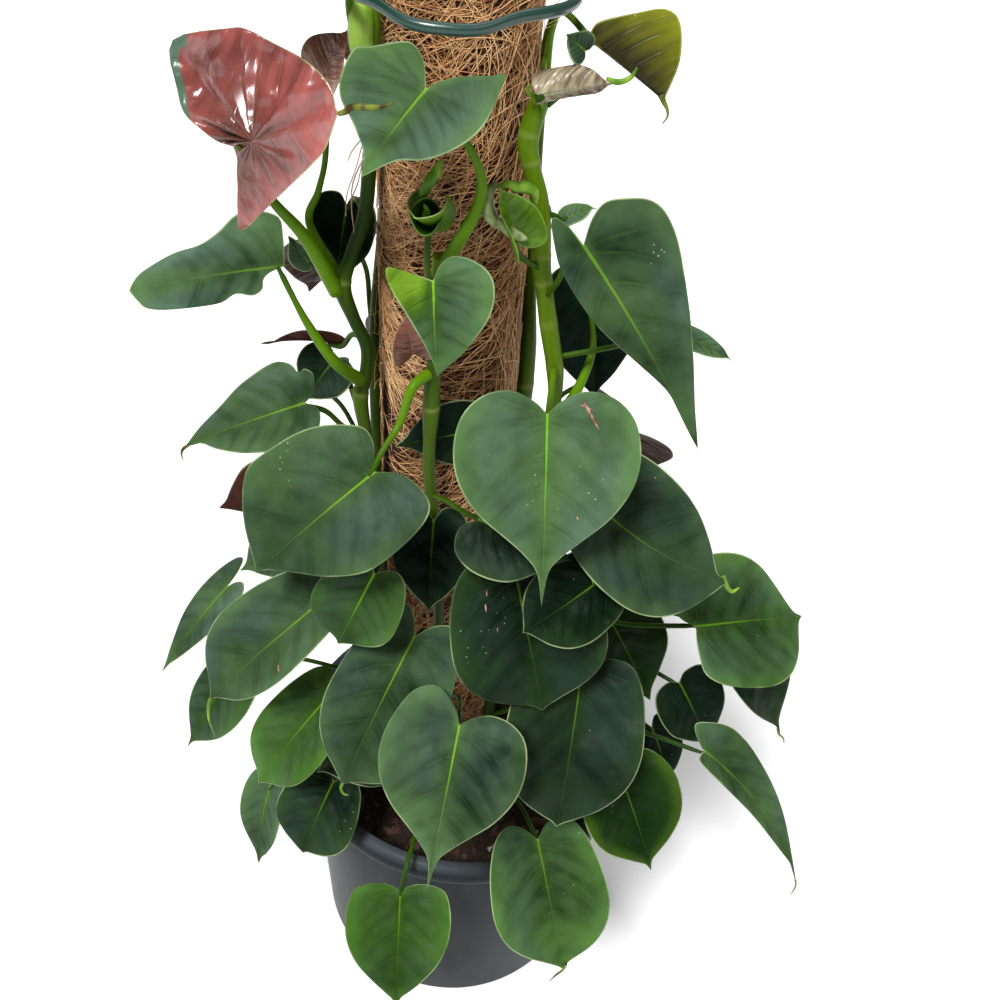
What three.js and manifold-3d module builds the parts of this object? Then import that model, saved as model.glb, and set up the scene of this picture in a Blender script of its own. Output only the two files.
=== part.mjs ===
// A potted philodendron lupinum on a coir pole, in millimetres, +Z up.
// The origin is the middle of the pot's flat base and -Y is the front.
import * as THREE from "three";
import { mergeVertices } from "three/addons/utils/BufferGeometryUtils.js";
import Module from "manifold-3d";

const wasm = await Module();
wasm.setup();

// Driving dimensions
const touchGap = 0.3;

const pot = { height: 195, baseRadius: 103, wallTopRadius: 114, rimRadius: 122, lipDrop: 15, wall: 2.6 };
const drain = { count: 6, radius: 5, circle: 72 };
const sides = 40;

const soilTop = 172;
const soilBump = 1.6;
const rootGap = 0.7;

const pole = { x: -20, slope: -0.028, coreRadius: 27, coirRadius: 38, coreTop: 748, coirTop: 738 };
const coirSeam = { angle: 205, width: 7, relief: 0.9 };

const ring = { radius: 52, tube: 5, height: 695, dip: 7, dipWidth: 24 };

const blade = { thickness: 0.8, innerRing: 0.55, heart: 0.16 };
const stalk = { radius: 1.5, sides: 5, steps: 3 };
const vineSides = 7;

// Materials
function finish(color, roughness, metalness = 0) {
  return new THREE.MeshStandardMaterial({ color, roughness, metalness });
}

const leafGreen = finish(0x2f4a35, 0.6);
const youngLeaf = finish(0x4f7d35, 0.45);
const redLeaf = finish(0x7d3f3d, 0.35);
const stemGreen = finish(0x4f7d26, 0.45);
const darkStem = finish(0x23401f, 0.5);
const potPlastic = finish(0x3a3f45, 0.5);
const soilBrown = finish(0x2b2320, 0.95);
const coirBrown = finish(0x9a6a45, 0.95);
const corePlastic = finish(0xece3d2, 0.5);
const ringPlastic = finish(0x12352c, 0.35);

// Solids and booleans
function asSolid(geometry) {
  const plain = geometry.clone();
  plain.deleteAttribute("normal");
  plain.deleteAttribute("uv");
  const merged = mergeVertices(plain, 1e-4);
  return new wasm.Manifold(new wasm.Mesh({
    numProp: 3,
    vertProperties: new Float32Array(merged.attributes.position.array),
    triVerts: new Uint32Array(merged.index.array),
  }));
}

function asGeometry(solid) {
  const mesh = solid.getMesh();
  const geometry = new THREE.BufferGeometry();
  geometry.setAttribute("position", new THREE.BufferAttribute(new Float32Array(mesh.vertProperties), 3));
  geometry.setIndex(new THREE.BufferAttribute(new Uint32Array(mesh.triVerts), 1));
  geometry.computeVertexNormals();
  return geometry;
}

function joined(geometries) {
  const [first, ...rest] = geometries.map(asSolid);
  return asGeometry(rest.reduce((sum, solid) => sum.add(solid), first));
}

function cutBy(geometry, cutters) {
  return asGeometry(cutters.map(asSolid).reduce((left, cutter) => left.subtract(cutter), asSolid(geometry)));
}

function meshOf(name, geometry, material) {
  const mesh = new THREE.Mesh(geometry, material);
  mesh.name = name;
  return mesh;
}

// LatheGeometry turns about Y, so the profile's height goes to Z.
function turned(profile, segments = sides) {
  const points = profile.map(([radius, height]) => new THREE.Vector2(radius, height));
  return new THREE.LatheGeometry(points, segments).rotateX(Math.PI / 2);
}

function upright(radius, bottom, top, segments = 24) {
  return turned([[0, bottom], [radius, bottom], [radius, top], [0, top]], segments);
}

// Pot: one moulded wall with a turned-down lip and drain holes in its base
function innerRadius(height) {
  const slope = (pot.wallTopRadius - pot.baseRadius) / pot.height;
  return pot.baseRadius + slope * height - pot.wall;
}

function potGeometry() {
  const { height, baseRadius, wallTopRadius, rimRadius, lipDrop, wall } = pot;
  const shell = turned([
    [0, 0],
    [baseRadius - 3, 0],
    [baseRadius, 3],
    [wallTopRadius - 0.6, height - 6],
    [rimRadius - wall - 1, height - 6],
    [rimRadius - wall, height - lipDrop],
    [rimRadius, height - lipDrop],
    [rimRadius, height - 6],
    [rimRadius - 2, height - 2],
    [rimRadius - 6, height],
    [wallTopRadius - 1, height - 2],
    [innerRadius(height - 8), height - 8],
    [innerRadius(wall), wall],
    [0, wall],
  ]);
  const holes = [];
  for (let i = 0; i < drain.count; i += 1) {
    const turn = (2 * Math.PI * i) / drain.count;
    const hole = upright(drain.radius, -5, 10, 12);
    holes.push(hole.translate(drain.circle * Math.cos(turn), drain.circle * Math.sin(turn), 0));
  }
  return cutBy(shell, holes);
}

// Pole: a capped plastic core with a coir mat wrapped round it, leaning a little to the left
function poleX(height) {
  return pole.x + pole.slope * (height - pot.height);
}

function leaned(geometry) {
  const position = geometry.attributes.position;
  for (let i = 0; i < position.count; i += 1) {
    position.setX(i, position.getX(i) + poleX(position.getZ(i)));
  }
  return geometry;
}

function coreGeometry() {
  const { coreRadius, coreTop } = pole;
  const bottom = pot.wall + touchGap;
  return leaned(turned([
    [0, bottom],
    [coreRadius, bottom],
    [coreRadius, coreTop - 2],
    [coreRadius - 2, coreTop],
    [0, coreTop],
  ], 32));
}

function coirGeometry() {
  const bottom = soilTop + soilBump + touchGap;
  const half = coirSeam.width / 2 / pole.coirRadius;
  const start = THREE.MathUtils.degToRad(coirSeam.angle - 90) + half;
  const end = start + 2 * Math.PI - 2 * half;
  const section = new THREE.Shape();
  section.absarc(0, 0, pole.coirRadius, start, end, false);
  section.absarc(0, 0, pole.coreRadius + touchGap, end, start, true);
  section.closePath();
  const height = pole.coirTop - bottom;
  const sleeve = new THREE.ExtrudeGeometry(section, {
    depth: height, steps: 8, curveSegments: 14, bevelEnabled: false,
  });
  sleeve.translate(0, 0, bottom);
  const position = sleeve.attributes.position;
  for (let i = 0; i < position.count; i += 1) {
    const [x, y, z] = [position.getX(i), position.getY(i), position.getZ(i)];
    const radius = Math.hypot(x, y);
    if (radius > pole.coirRadius - 1) {
      const turn = Math.atan2(y, x);
      const hollow = coirSeam.relief * (0.5 + 0.5 * Math.sin(5 * turn + z / 19) * Math.cos(3 * turn - z / 31));
      position.setX(i, (x * (radius - hollow)) / radius);
      position.setY(i, (y * (radius - hollow)) / radius);
    }
  }
  return leaned(sleeve);
}

// Support ring: a hoop of plastic tube that bears on the back of the coir and dips at the front
function ringGeometry() {
  const hoop = new THREE.TorusGeometry(ring.radius, ring.tube / 2, 6, 40);
  const position = hoop.attributes.position;
  for (let i = 0; i < position.count; i += 1) {
    const [x, y, z] = [position.getX(i), position.getY(i), position.getZ(i)];
    const dip = y < 0 ? ring.dip * Math.exp(-((x / ring.dipWidth) ** 4)) : 0;
    position.setXYZ(i, x, y - dip, z - 0.6 * dip);
  }
  const back = ring.radius - ring.tube / 2 - pole.coirRadius - touchGap;
  return hoop.translate(poleX(ring.height), -back, ring.height);
}

// Tubes: rings of points round a curve, with the radius given at each step
function tube(curve, stops, radiusAt, sideCount) {
  const frames = curve.computeFrenetFrames(200, false);
  const positions = [];
  const index = [];
  for (const u of stops) {
    const centre = curve.getPoint(u);
    const k = Math.round(u * 200);
    for (let j = 0; j < sideCount; j += 1) {
      const turn = (2 * Math.PI * j) / sideCount;
      const offset = frames.normals[k].clone().multiplyScalar(Math.cos(turn))
        .addScaledVector(frames.binormals[k], Math.sin(turn));
      const point = centre.clone().addScaledVector(offset, radiusAt(u));
      positions.push(point.x, point.y, point.z);
    }
  }
  for (let i = 0; i < stops.length - 1; i += 1) {
    for (let j = 0; j < sideCount; j += 1) {
      const a = i * sideCount + j;
      const b = i * sideCount + ((j + 1) % sideCount);
      index.push(a, b, b + sideCount, a, b + sideCount, a + sideCount);
    }
  }
  const last = (stops.length - 1) * sideCount;
  for (let j = 1; j < sideCount - 1; j += 1) {
    index.push(0, j + 1, j, last, last + j, last + j + 1);
  }
  const geometry = new THREE.BufferGeometry();
  geometry.setAttribute("position", new THREE.Float32BufferAttribute(positions, 3));
  geometry.setIndex(index);
  return geometry;
}

// Vines: each climbs from the soil up the pole, with a swelling at every node. A row is x, y, z, radius.
const rootDepth = 30;

const vineRoutes = {
  vine_left: [
    [-56, -36, soilTop - rootDepth, 3.4], [-56, -36, 185, 3.4], [-57, -34, 250, 3.4], [-59, -32, 320, 3.4],
    [-61, -31, 390, 3.4], [-64, -31, 430, 3.4], [-70, -31, 470, 3.4], [-73, -31, 494, 4.4], [-70, -31, 511, 3.4],
    [-70, -31, 526, 3.4], [-76, -33, 542, 3.4], [-81, -35, 560, 4.4], [-77, -32, 576, 3.4], [-71, -29, 596, 3.6],
    [-69, -27, 622, 3.6], [-68, -26, 655, 3.6], [-68, -26, 690, 3.8], [-69, -24, 716, 3.4],
  ],
  vine_centre: [
    [-16, -52, soilTop - rootDepth, 3.4], [-16, -52, 185, 3.4], [-19, -50, 260, 3.4], [-22, -49, 340, 3.4],
    [-26, -51, 410, 3.4], [-32, -52, 458, 3.4], [-33, -52, 484, 3.6], [-33, -52, 503, 4.6], [-33, -52, 522, 4.2],
    [-32, -51, 542, 3.6], [-33, -50, 565, 3.4], [-32, -49, 588, 4],
  ],
  vine_right: [
    [12, -36, soilTop - rootDepth, 3.8], [12, -36, 185, 3.8], [15, -34, 270, 3.8], [17, -32, 350, 3.8],
    [22, -31, 430, 3.6], [29, -30, 476, 3.4], [31, -30, 498, 3.2], [29, -30, 521, 4.6], [23, -30, 546, 4.8],
    [18, -30, 568, 4.4], [15, -30, 582, 5], [14, -30, 596, 4.4], [11, -30, 612, 4.4], [6, -30, 626, 4.4],
    [3, -30, 639, 5], [6, -30, 654, 4.6], [9, -29, 662, 3.6],
  ],
  vine_back_left: [
    [-64, 12, soilTop - rootDepth, 3.4], [-64, 12, 185, 3.4], [-66, 12, 270, 3.8], [-68, 12, 350, 3.4],
    [-70, 12, 430, 3.8], [-72, 13, 505, 3.6], [-70, 24, 560, 3.4], [-66, 34, 610, 3.8], [-66, 34, 660, 3],
  ],
  vine_back_right: [
    [25, 12, soilTop - rootDepth, 3.4], [25, 12, 185, 3.4], [21, 12, 270, 3.8], [18, 12, 350, 3.4],
    [16, 12, 430, 3.6], [15, 12, 484, 5.2], [14, 12, 514, 5], [11, 12, 560, 3], [8.5, 12, 620, 2.4],
    [7.5, 12, 648, 2.2], [6, 12, 664, 2],
  ],
  vine_back: [
    [-18, 50, soilTop - rootDepth, 3.4], [-18, 50, 185, 3.4], [-22, 48, 270, 3.8], [-26, 47, 350, 3.4],
    [-25, 47, 430, 3.8], [-29, 47, 510, 3.4], [-30, 47, 570, 3.8], [-31, 47, 625, 3.2],
  ],
};

function vineCurve(name) {
  const points = vineRoutes[name].map(([x, y, z]) => new THREE.Vector3(x, y, z));
  return new THREE.CatmullRomCurve3(points, false, "catmullrom", 0.5);
}

// Radius and centre of a vine at a height
function vineAt(name, height) {
  const curve = vineCurve(name);
  let low = 0;
  let high = 1;
  for (let i = 0; i < 30; i += 1) {
    const middle = (low + high) / 2;
    if (curve.getPoint(middle).z < height) low = middle;
    else high = middle;
  }
  return { centre: curve.getPoint(low), radius: vineRadius(name, low) };
}

function vineRadius(name, u) {
  const rows = vineRoutes[name];
  const place = u * (rows.length - 1);
  const i = Math.min(Math.floor(place), rows.length - 2);
  return rows[i][3] + (rows[i + 1][3] - rows[i][3]) * (place - i);
}

function vineGeometry(name) {
  const count = vineRoutes[name].length - 1;
  const stops = [0];
  for (let i = 0; i < count; i += 1) {
    stops.push((i + 0.5) / count, (i + 1) / count);
  }
  return tube(vineCurve(name), stops, (u) => vineRadius(name, u), vineSides);
}

// Leaves: a heart-shaped blade with a drip tip. Each shape is half an outline from the sinus to the
// tip, as x over length and y over half width. The pairs below "plain" are leaves measured one by one.
const shapes = {
  heart: [
    [-0.02, 0], [-0.12, 0.14], [-0.18, 0.4], [-0.14, 0.68], [0, 0.9], [0.18, 1],
    [0.38, 0.96], [0.56, 0.78], [0.71, 0.5], [0.83, 0.22], [0.9, 0.07], [1, 0],
  ],
  round: [
    [-0.02, 0], [-0.12, 0.2], [-0.16, 0.46], [-0.08, 0.72], [0.1, 0.9], [0.3, 0.99],
    [0.5, 1], [0.68, 0.86], [0.82, 0.58], [0.91, 0.27], [0.96, 0.09], [1, 0],
  ],
  long: [
    [-0.02, 0], [-0.14, 0.14], [-0.22, 0.4], [-0.19, 0.7], [-0.06, 0.93], [0.1, 1],
    [0.28, 0.95], [0.46, 0.8], [0.63, 0.56], [0.78, 0.3], [0.88, 0.1], [1, 0],
  ],
  drip: [
    [-0.02, 0], [-0.08, 0.14], [-0.13, 0.4], [-0.1, 0.7], [0, 0.92], [0.15, 1],
    [0.31, 0.94], [0.47, 0.72], [0.6, 0.42], [0.7, 0.2], [0.8, 0.06], [1, 0],
  ],
  plain: [
    [-0.02, 0], [-0.16, 0.3], [-0.1, 0.76], [0.14, 1], [0.46, 0.92], [0.72, 0.5], [0.88, 0.14], [1, 0],
  ],
  plainLong: [
    [-0.02, 0], [-0.1, 0.5], [0, 0.9], [0.2, 1], [0.4, 0.9], [0.6, 0.6], [0.8, 0.3], [1, 0],
  ],
  redUpper: [
    [-0.02, 0], [-0.16, 0.08], [-0.28, 0.2], [-0.42, 0.38], [-0.47, 0.6], [-0.5, 1.05],
    [0.02, 0.98], [0.2, 0.9], [0.42, 0.72], [0.72, 0.48], [0.93, 0.24], [1, 0],
  ],
  redLower: [
    [-0.02, 0], [-0.02, 0.1], [-0.06, 0.2], [-0.1, 0.32], [-0.19, 0.52], [-0.24, 0.7],
    [0.06, 0.56], [0.22, 0.48], [0.38, 0.4], [0.6, 0.3], [0.8, 0.2], [1, 0],
  ],
  topLeft: [
    [-0.04, 0], [-0.22, 0.26], [-0.27, 0.5], [-0.21, 0.64], [0.02, 0.88], [0.14, 1.02],
    [0.4, 0.94], [0.55, 0.78], [0.64, 0.5], [0.77, 0.18], [0.88, 0.06], [1, 0],
  ],
  topRight: [
    [-0.04, 0], [-0.17, 0.06], [-0.35, 0.25], [-0.54, 0.56], [-0.62, 0.68], [-0.45, 0.8],
    [-0.16, 0.94], [0.06, 0.94], [0.28, 0.82], [0.48, 0.6], [0.66, 0.28], [1, 0],
  ],
  oliveOuter: [
    [-0.02, 0], [-0.05, 0.16], [-0.01, 0.32], [0.24, 0.7], [0.45, 0.98], [0.65, 0.96], [0.88, 0.56], [1, 0],
  ],
  farUpper: [
    [-0.02, 0], [-0.03, 0.2], [-0.04, 0.46], [-0.03, 0.74], [0.1, 0.87], [0.23, 0.84],
    [0.36, 0.62], [0.49, 0.48], [0.67, 0.42], [0.88, 0.24], [0.96, 0.1], [1, 0],
  ],
  farLower: [
    [-0.02, 0], [0.08, 0.08], [0.13, 0.18], [0.15, 0.34], [0.22, 0.42], [0.33, 0.35],
    [0.44, 0.46], [0.61, 0.47], [0.82, 0.42], [0.94, 0.32], [0.98, 0.16], [1, 0],
  ],
  lowUpper: [
    [-0.02, 0], [-0.1, 0.14], [-0.13, 0.3], [-0.14, 0.5], [-0.09, 0.62], [-0.04, 0.58],
    [0, 0.78], [0.12, 0.9], [0.38, 0.72], [0.6, 0.45], [0.82, 0.22], [1, 0],
  ],
  lowLower: [
    [-0.02, 0], [-0.08, 0.12], [-0.1, 0.3], [-0.05, 0.58], [0.08, 0.75], [0.27, 0.76],
    [0.48, 0.62], [0.62, 0.46], [0.74, 0.28], [0.84, 0.08], [0.92, 0.03], [1, 0],
  ],
  bigUpper: [
    [-0.02, 0], [-0.09, 0.19], [-0.13, 0.38], [-0.11, 0.56], [0.04, 0.82], [0.18, 0.95],
    [0.34, 1.01], [0.54, 1.03], [0.7, 0.8], [0.84, 0.48], [0.94, 0.18], [1, 0],
  ],
  bigLower: [
    [-0.02, 0], [-0.13, 0.22], [-0.17, 0.48], [-0.16, 0.76], [-0.06, 0.91], [0.14, 0.97],
    [0.36, 0.93], [0.58, 0.66], [0.72, 0.4], [0.86, 0.14], [0.93, 0.04], [1, 0],
  ],
  rightInner: [
    [-0.02, 0], [-0.12, 0.03], [-0.17, 0.14], [-0.05, 0.35], [0.02, 0.42], [0.15, 0.45],
    [0.31, 0.4], [0.5, 0.21], [0.66, 0.05], [0.78, 0.03], [0.88, 0.02], [1, 0],
  ],
  frontLeft: [
    [-0.02, 0], [-0.06, 0.3], [-0.1, 0.7], [-0.1, 0.96], [-0.04, 1], [0.1, 0.88],
    [0.27, 0.64], [0.45, 0.42], [0.63, 0.22], [0.8, 0.08], [0.9, 0.03], [1, 0],
  ],
  frontRight: [
    [-0.02, 0], [-0.16, 0.1], [-0.26, 0.28], [-0.24, 0.55], [-0.12, 0.85], [0.02, 0.99],
    [0.2, 1], [0.38, 0.9], [0.54, 0.72], [0.72, 0.48], [0.87, 0.22], [1, 0],
  ],
  rightOuter: [
    [-0.02, 0], [-0.08, 0.26], [-0.1, 0.5], [-0.06, 0.74], [-0.01, 0.93], [0.06, 1.01],
    [0.17, 0.97], [0.3, 0.84], [0.45, 0.66], [0.62, 0.43], [0.8, 0.19], [1, 0],
  ],
};

// A leaf row: base and tip in millimetres, width, face (azimuth from the front, elevation) in degrees,
// and for the left and right half its width factor, its fold at the midrib and its cup in degrees.
// Droop is the bend of the midrib in degrees, and bow its sideways bend in millimetres.
const leafDefaults = {
  face: [0, 40], shape: "heart", halves: [1, 1], lobes: [1, 1], fold: [6, 6], cup: [10, 10],
  droop: 24, bow: 0,
};

function direction([azimuth, elevation]) {
  const a = THREE.MathUtils.degToRad(azimuth);
  const e = THREE.MathUtils.degToRad(elevation);
  return new THREE.Vector3(Math.sin(a) * Math.cos(e), -Math.cos(a) * Math.cos(e), Math.sin(e));
}

function leafFrame(leaf) {
  const base = new THREE.Vector3(...leaf.base);
  const tip = new THREE.Vector3(...leaf.tip);
  const along = tip.clone().sub(base);
  const chord = along.length();
  along.normalize();
  const face = direction(leaf.face);
  face.addScaledVector(along, -face.dot(along)).normalize();
  const across = face.clone().cross(along);
  const bend = THREE.MathUtils.degToRad(leaf.droop);
  const length = (chord * (bend / 2)) / Math.sin(bend / 2);
  return { base, along, face, across, bend, length };
}

// The flat outline in millimetres: the right half from sinus to tip, then the left half back
function flatOutline(leaf, length) {
  const pair = Array.isArray(leaf.shape) ? leaf.shape : [leaf.shape, leaf.shape];
  const half = (side, sign) => shapes[pair[side]].map(([x, y]) => [
    (x < 0 ? x * leaf.lobes[side] : x) * length,
    sign * y * leaf.halves[side] * (leaf.width / 2),
  ]);
  return [...half(1, 1), ...half(0, -1).slice(1, -1).reverse()];
}

// The point of the blade's middle surface at x along and y across, both flat millimetres
function bladePoint(leaf, frame, x, y) {
  const { base, along, face, across, bend, length } = frame;
  const side = y > 0 ? 1 : 0;
  const fold = THREE.MathUtils.degToRad(leaf.fold[side]);
  const cup = THREE.MathUtils.degToRad(leaf.cup[side] || 0.01) / (leaf.width / 2);
  const slope = bend / 2 - (bend * x) / length;
  const arc = length / bend;
  const turn = fold + cup * Math.abs(y);
  const u = x / length;
  const up = face.clone().multiplyScalar(Math.cos(slope)).addScaledVector(along, -Math.sin(slope));
  return base.clone()
    .addScaledVector(along, arc * (Math.sin(bend / 2) - Math.sin(slope)))
    .addScaledVector(face, arc * (Math.cos(slope) - Math.cos(bend / 2)))
    .addScaledVector(across, (Math.sign(y) * (Math.sin(turn) - Math.sin(fold))) / cup)
    .addScaledVector(across, 4 * leaf.bow * u * (1 - u))
    .addScaledVector(up, (Math.cos(fold) - Math.cos(turn)) / cup);
}

// The blade's two faces share one pattern: a fan round the heart, a ring, and the outline
function bladeGeometry(leaf) {
  const frame = leafFrame(leaf);
  const heart = blade.heart * frame.length;
  const margin = flatOutline(leaf, frame.length);
  const count = margin.length;
  const inner = margin.filter((_, i) => i % 2 === 0).map(([x, y]) => [
    heart + blade.innerRing * (x - heart), blade.innerRing * y,
  ]);
  const flat = [[heart, 0], ...inner, ...margin];
  const step = 0.5;
  const front = [];
  const back = [];
  for (const [x, y] of flat) {
    const point = bladePoint(leaf, frame, x, y);
    const alongX = bladePoint(leaf, frame, x + step, y).sub(bladePoint(leaf, frame, x - step, y));
    const alongY = bladePoint(leaf, frame, x, y + step).sub(bladePoint(leaf, frame, x, y - step));
    const normal = alongX.cross(alongY).normalize().multiplyScalar(blade.thickness / 2);
    front.push(point.clone().add(normal));
    back.push(point.clone().sub(normal));
  }
  const index = [];
  const under = flat.length;
  const bothFaces = (a, b, c) => index.push(a, c, b, a + under, b + under, c + under);
  const rim = 1 + inner.length;
  for (let k = 0; k < inner.length; k += 1) {
    const a = 1 + k;
    const b = 1 + ((k + 1) % inner.length);
    const outer = [0, 1, 2].map((i) => rim + ((2 * k + i) % count));
    bothFaces(0, a, b);
    bothFaces(a, outer[0], outer[1]);
    bothFaces(a, outer[1], b);
    bothFaces(b, outer[1], outer[2]);
  }
  for (let i = 0; i < count; i += 1) {
    const a = rim + i;
    const b = rim + ((i + 1) % count);
    index.push(a, b, b + under, a, b + under, a + under);
  }
  const geometry = new THREE.BufferGeometry();
  const positions = [...front, ...back].flatMap((p) => [p.x, p.y, p.z]);
  geometry.setAttribute("position", new THREE.Float32BufferAttribute(positions, 3));
  geometry.setIndex(index);
  return geometry;
}

// A leaf stalk leaves its vine outwards and upwards, and meets the blade from behind its base.
function stalkGeometry(leaf, footGap) {
  const { base, along, face } = leafFrame(leaf);
  const { centre, radius } = vineAt(leaf.vine, leaf.node);
  const toward = leaf.via ? new THREE.Vector3(...leaf.via[0]) : base;
  const outward = toward.clone().sub(centre).setZ(0).normalize();
  const footRadius = leaf.footRadius ?? stalk.radius;
  const foot = centre.clone().addScaledVector(outward, radius + footGap);
  const span = base.distanceTo(foot);
  const end = base.clone().addScaledVector(along, 2).addScaledVector(face, -0.2);
  let points;
  if (leaf.via) {
    points = [foot, ...leaf.via.map((p) => new THREE.Vector3(...p)), end];
  } else {
    const leave = foot.clone().addScaledVector(outward, 0.3 * span).setZ(foot.z + 0.16 * span);
    const arrive = base.clone().addScaledVector(along, -0.22 * span).addScaledVector(face, -0.3 * span);
    points = new THREE.CubicBezierCurve3(foot, leave, arrive, end).getPoints(stalk.steps);
  }
  // The foot is a disc across the stalk, so it stands off until its inner edge clears the vine.
  const lean = points[1].clone().sub(foot).normalize().dot(outward);
  points[0] = foot.clone().addScaledVector(outward, footRadius * Math.sqrt(1 - lean ** 2));
  const curve = new THREE.CatmullRomCurve3(points, false, "catmullrom", 0.5);
  const count = points.length - 1;
  const stops = points.map((_, i) => i / count);
  const radiusAt = (u) => Math.max(stalk.radius, footRadius * (1 - u) ** 0.6) * (u > 0.99 ? 0.6 : 1);
  return tube(curve, stops, radiusAt, stalk.sides);
}

function leafGeometry(row, footGap = touchGap) {
  const leaf = { ...leafDefaults, ...row };
  return joined([bladeGeometry(leaf), stalkGeometry(leaf, footGap)]);
}

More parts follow.
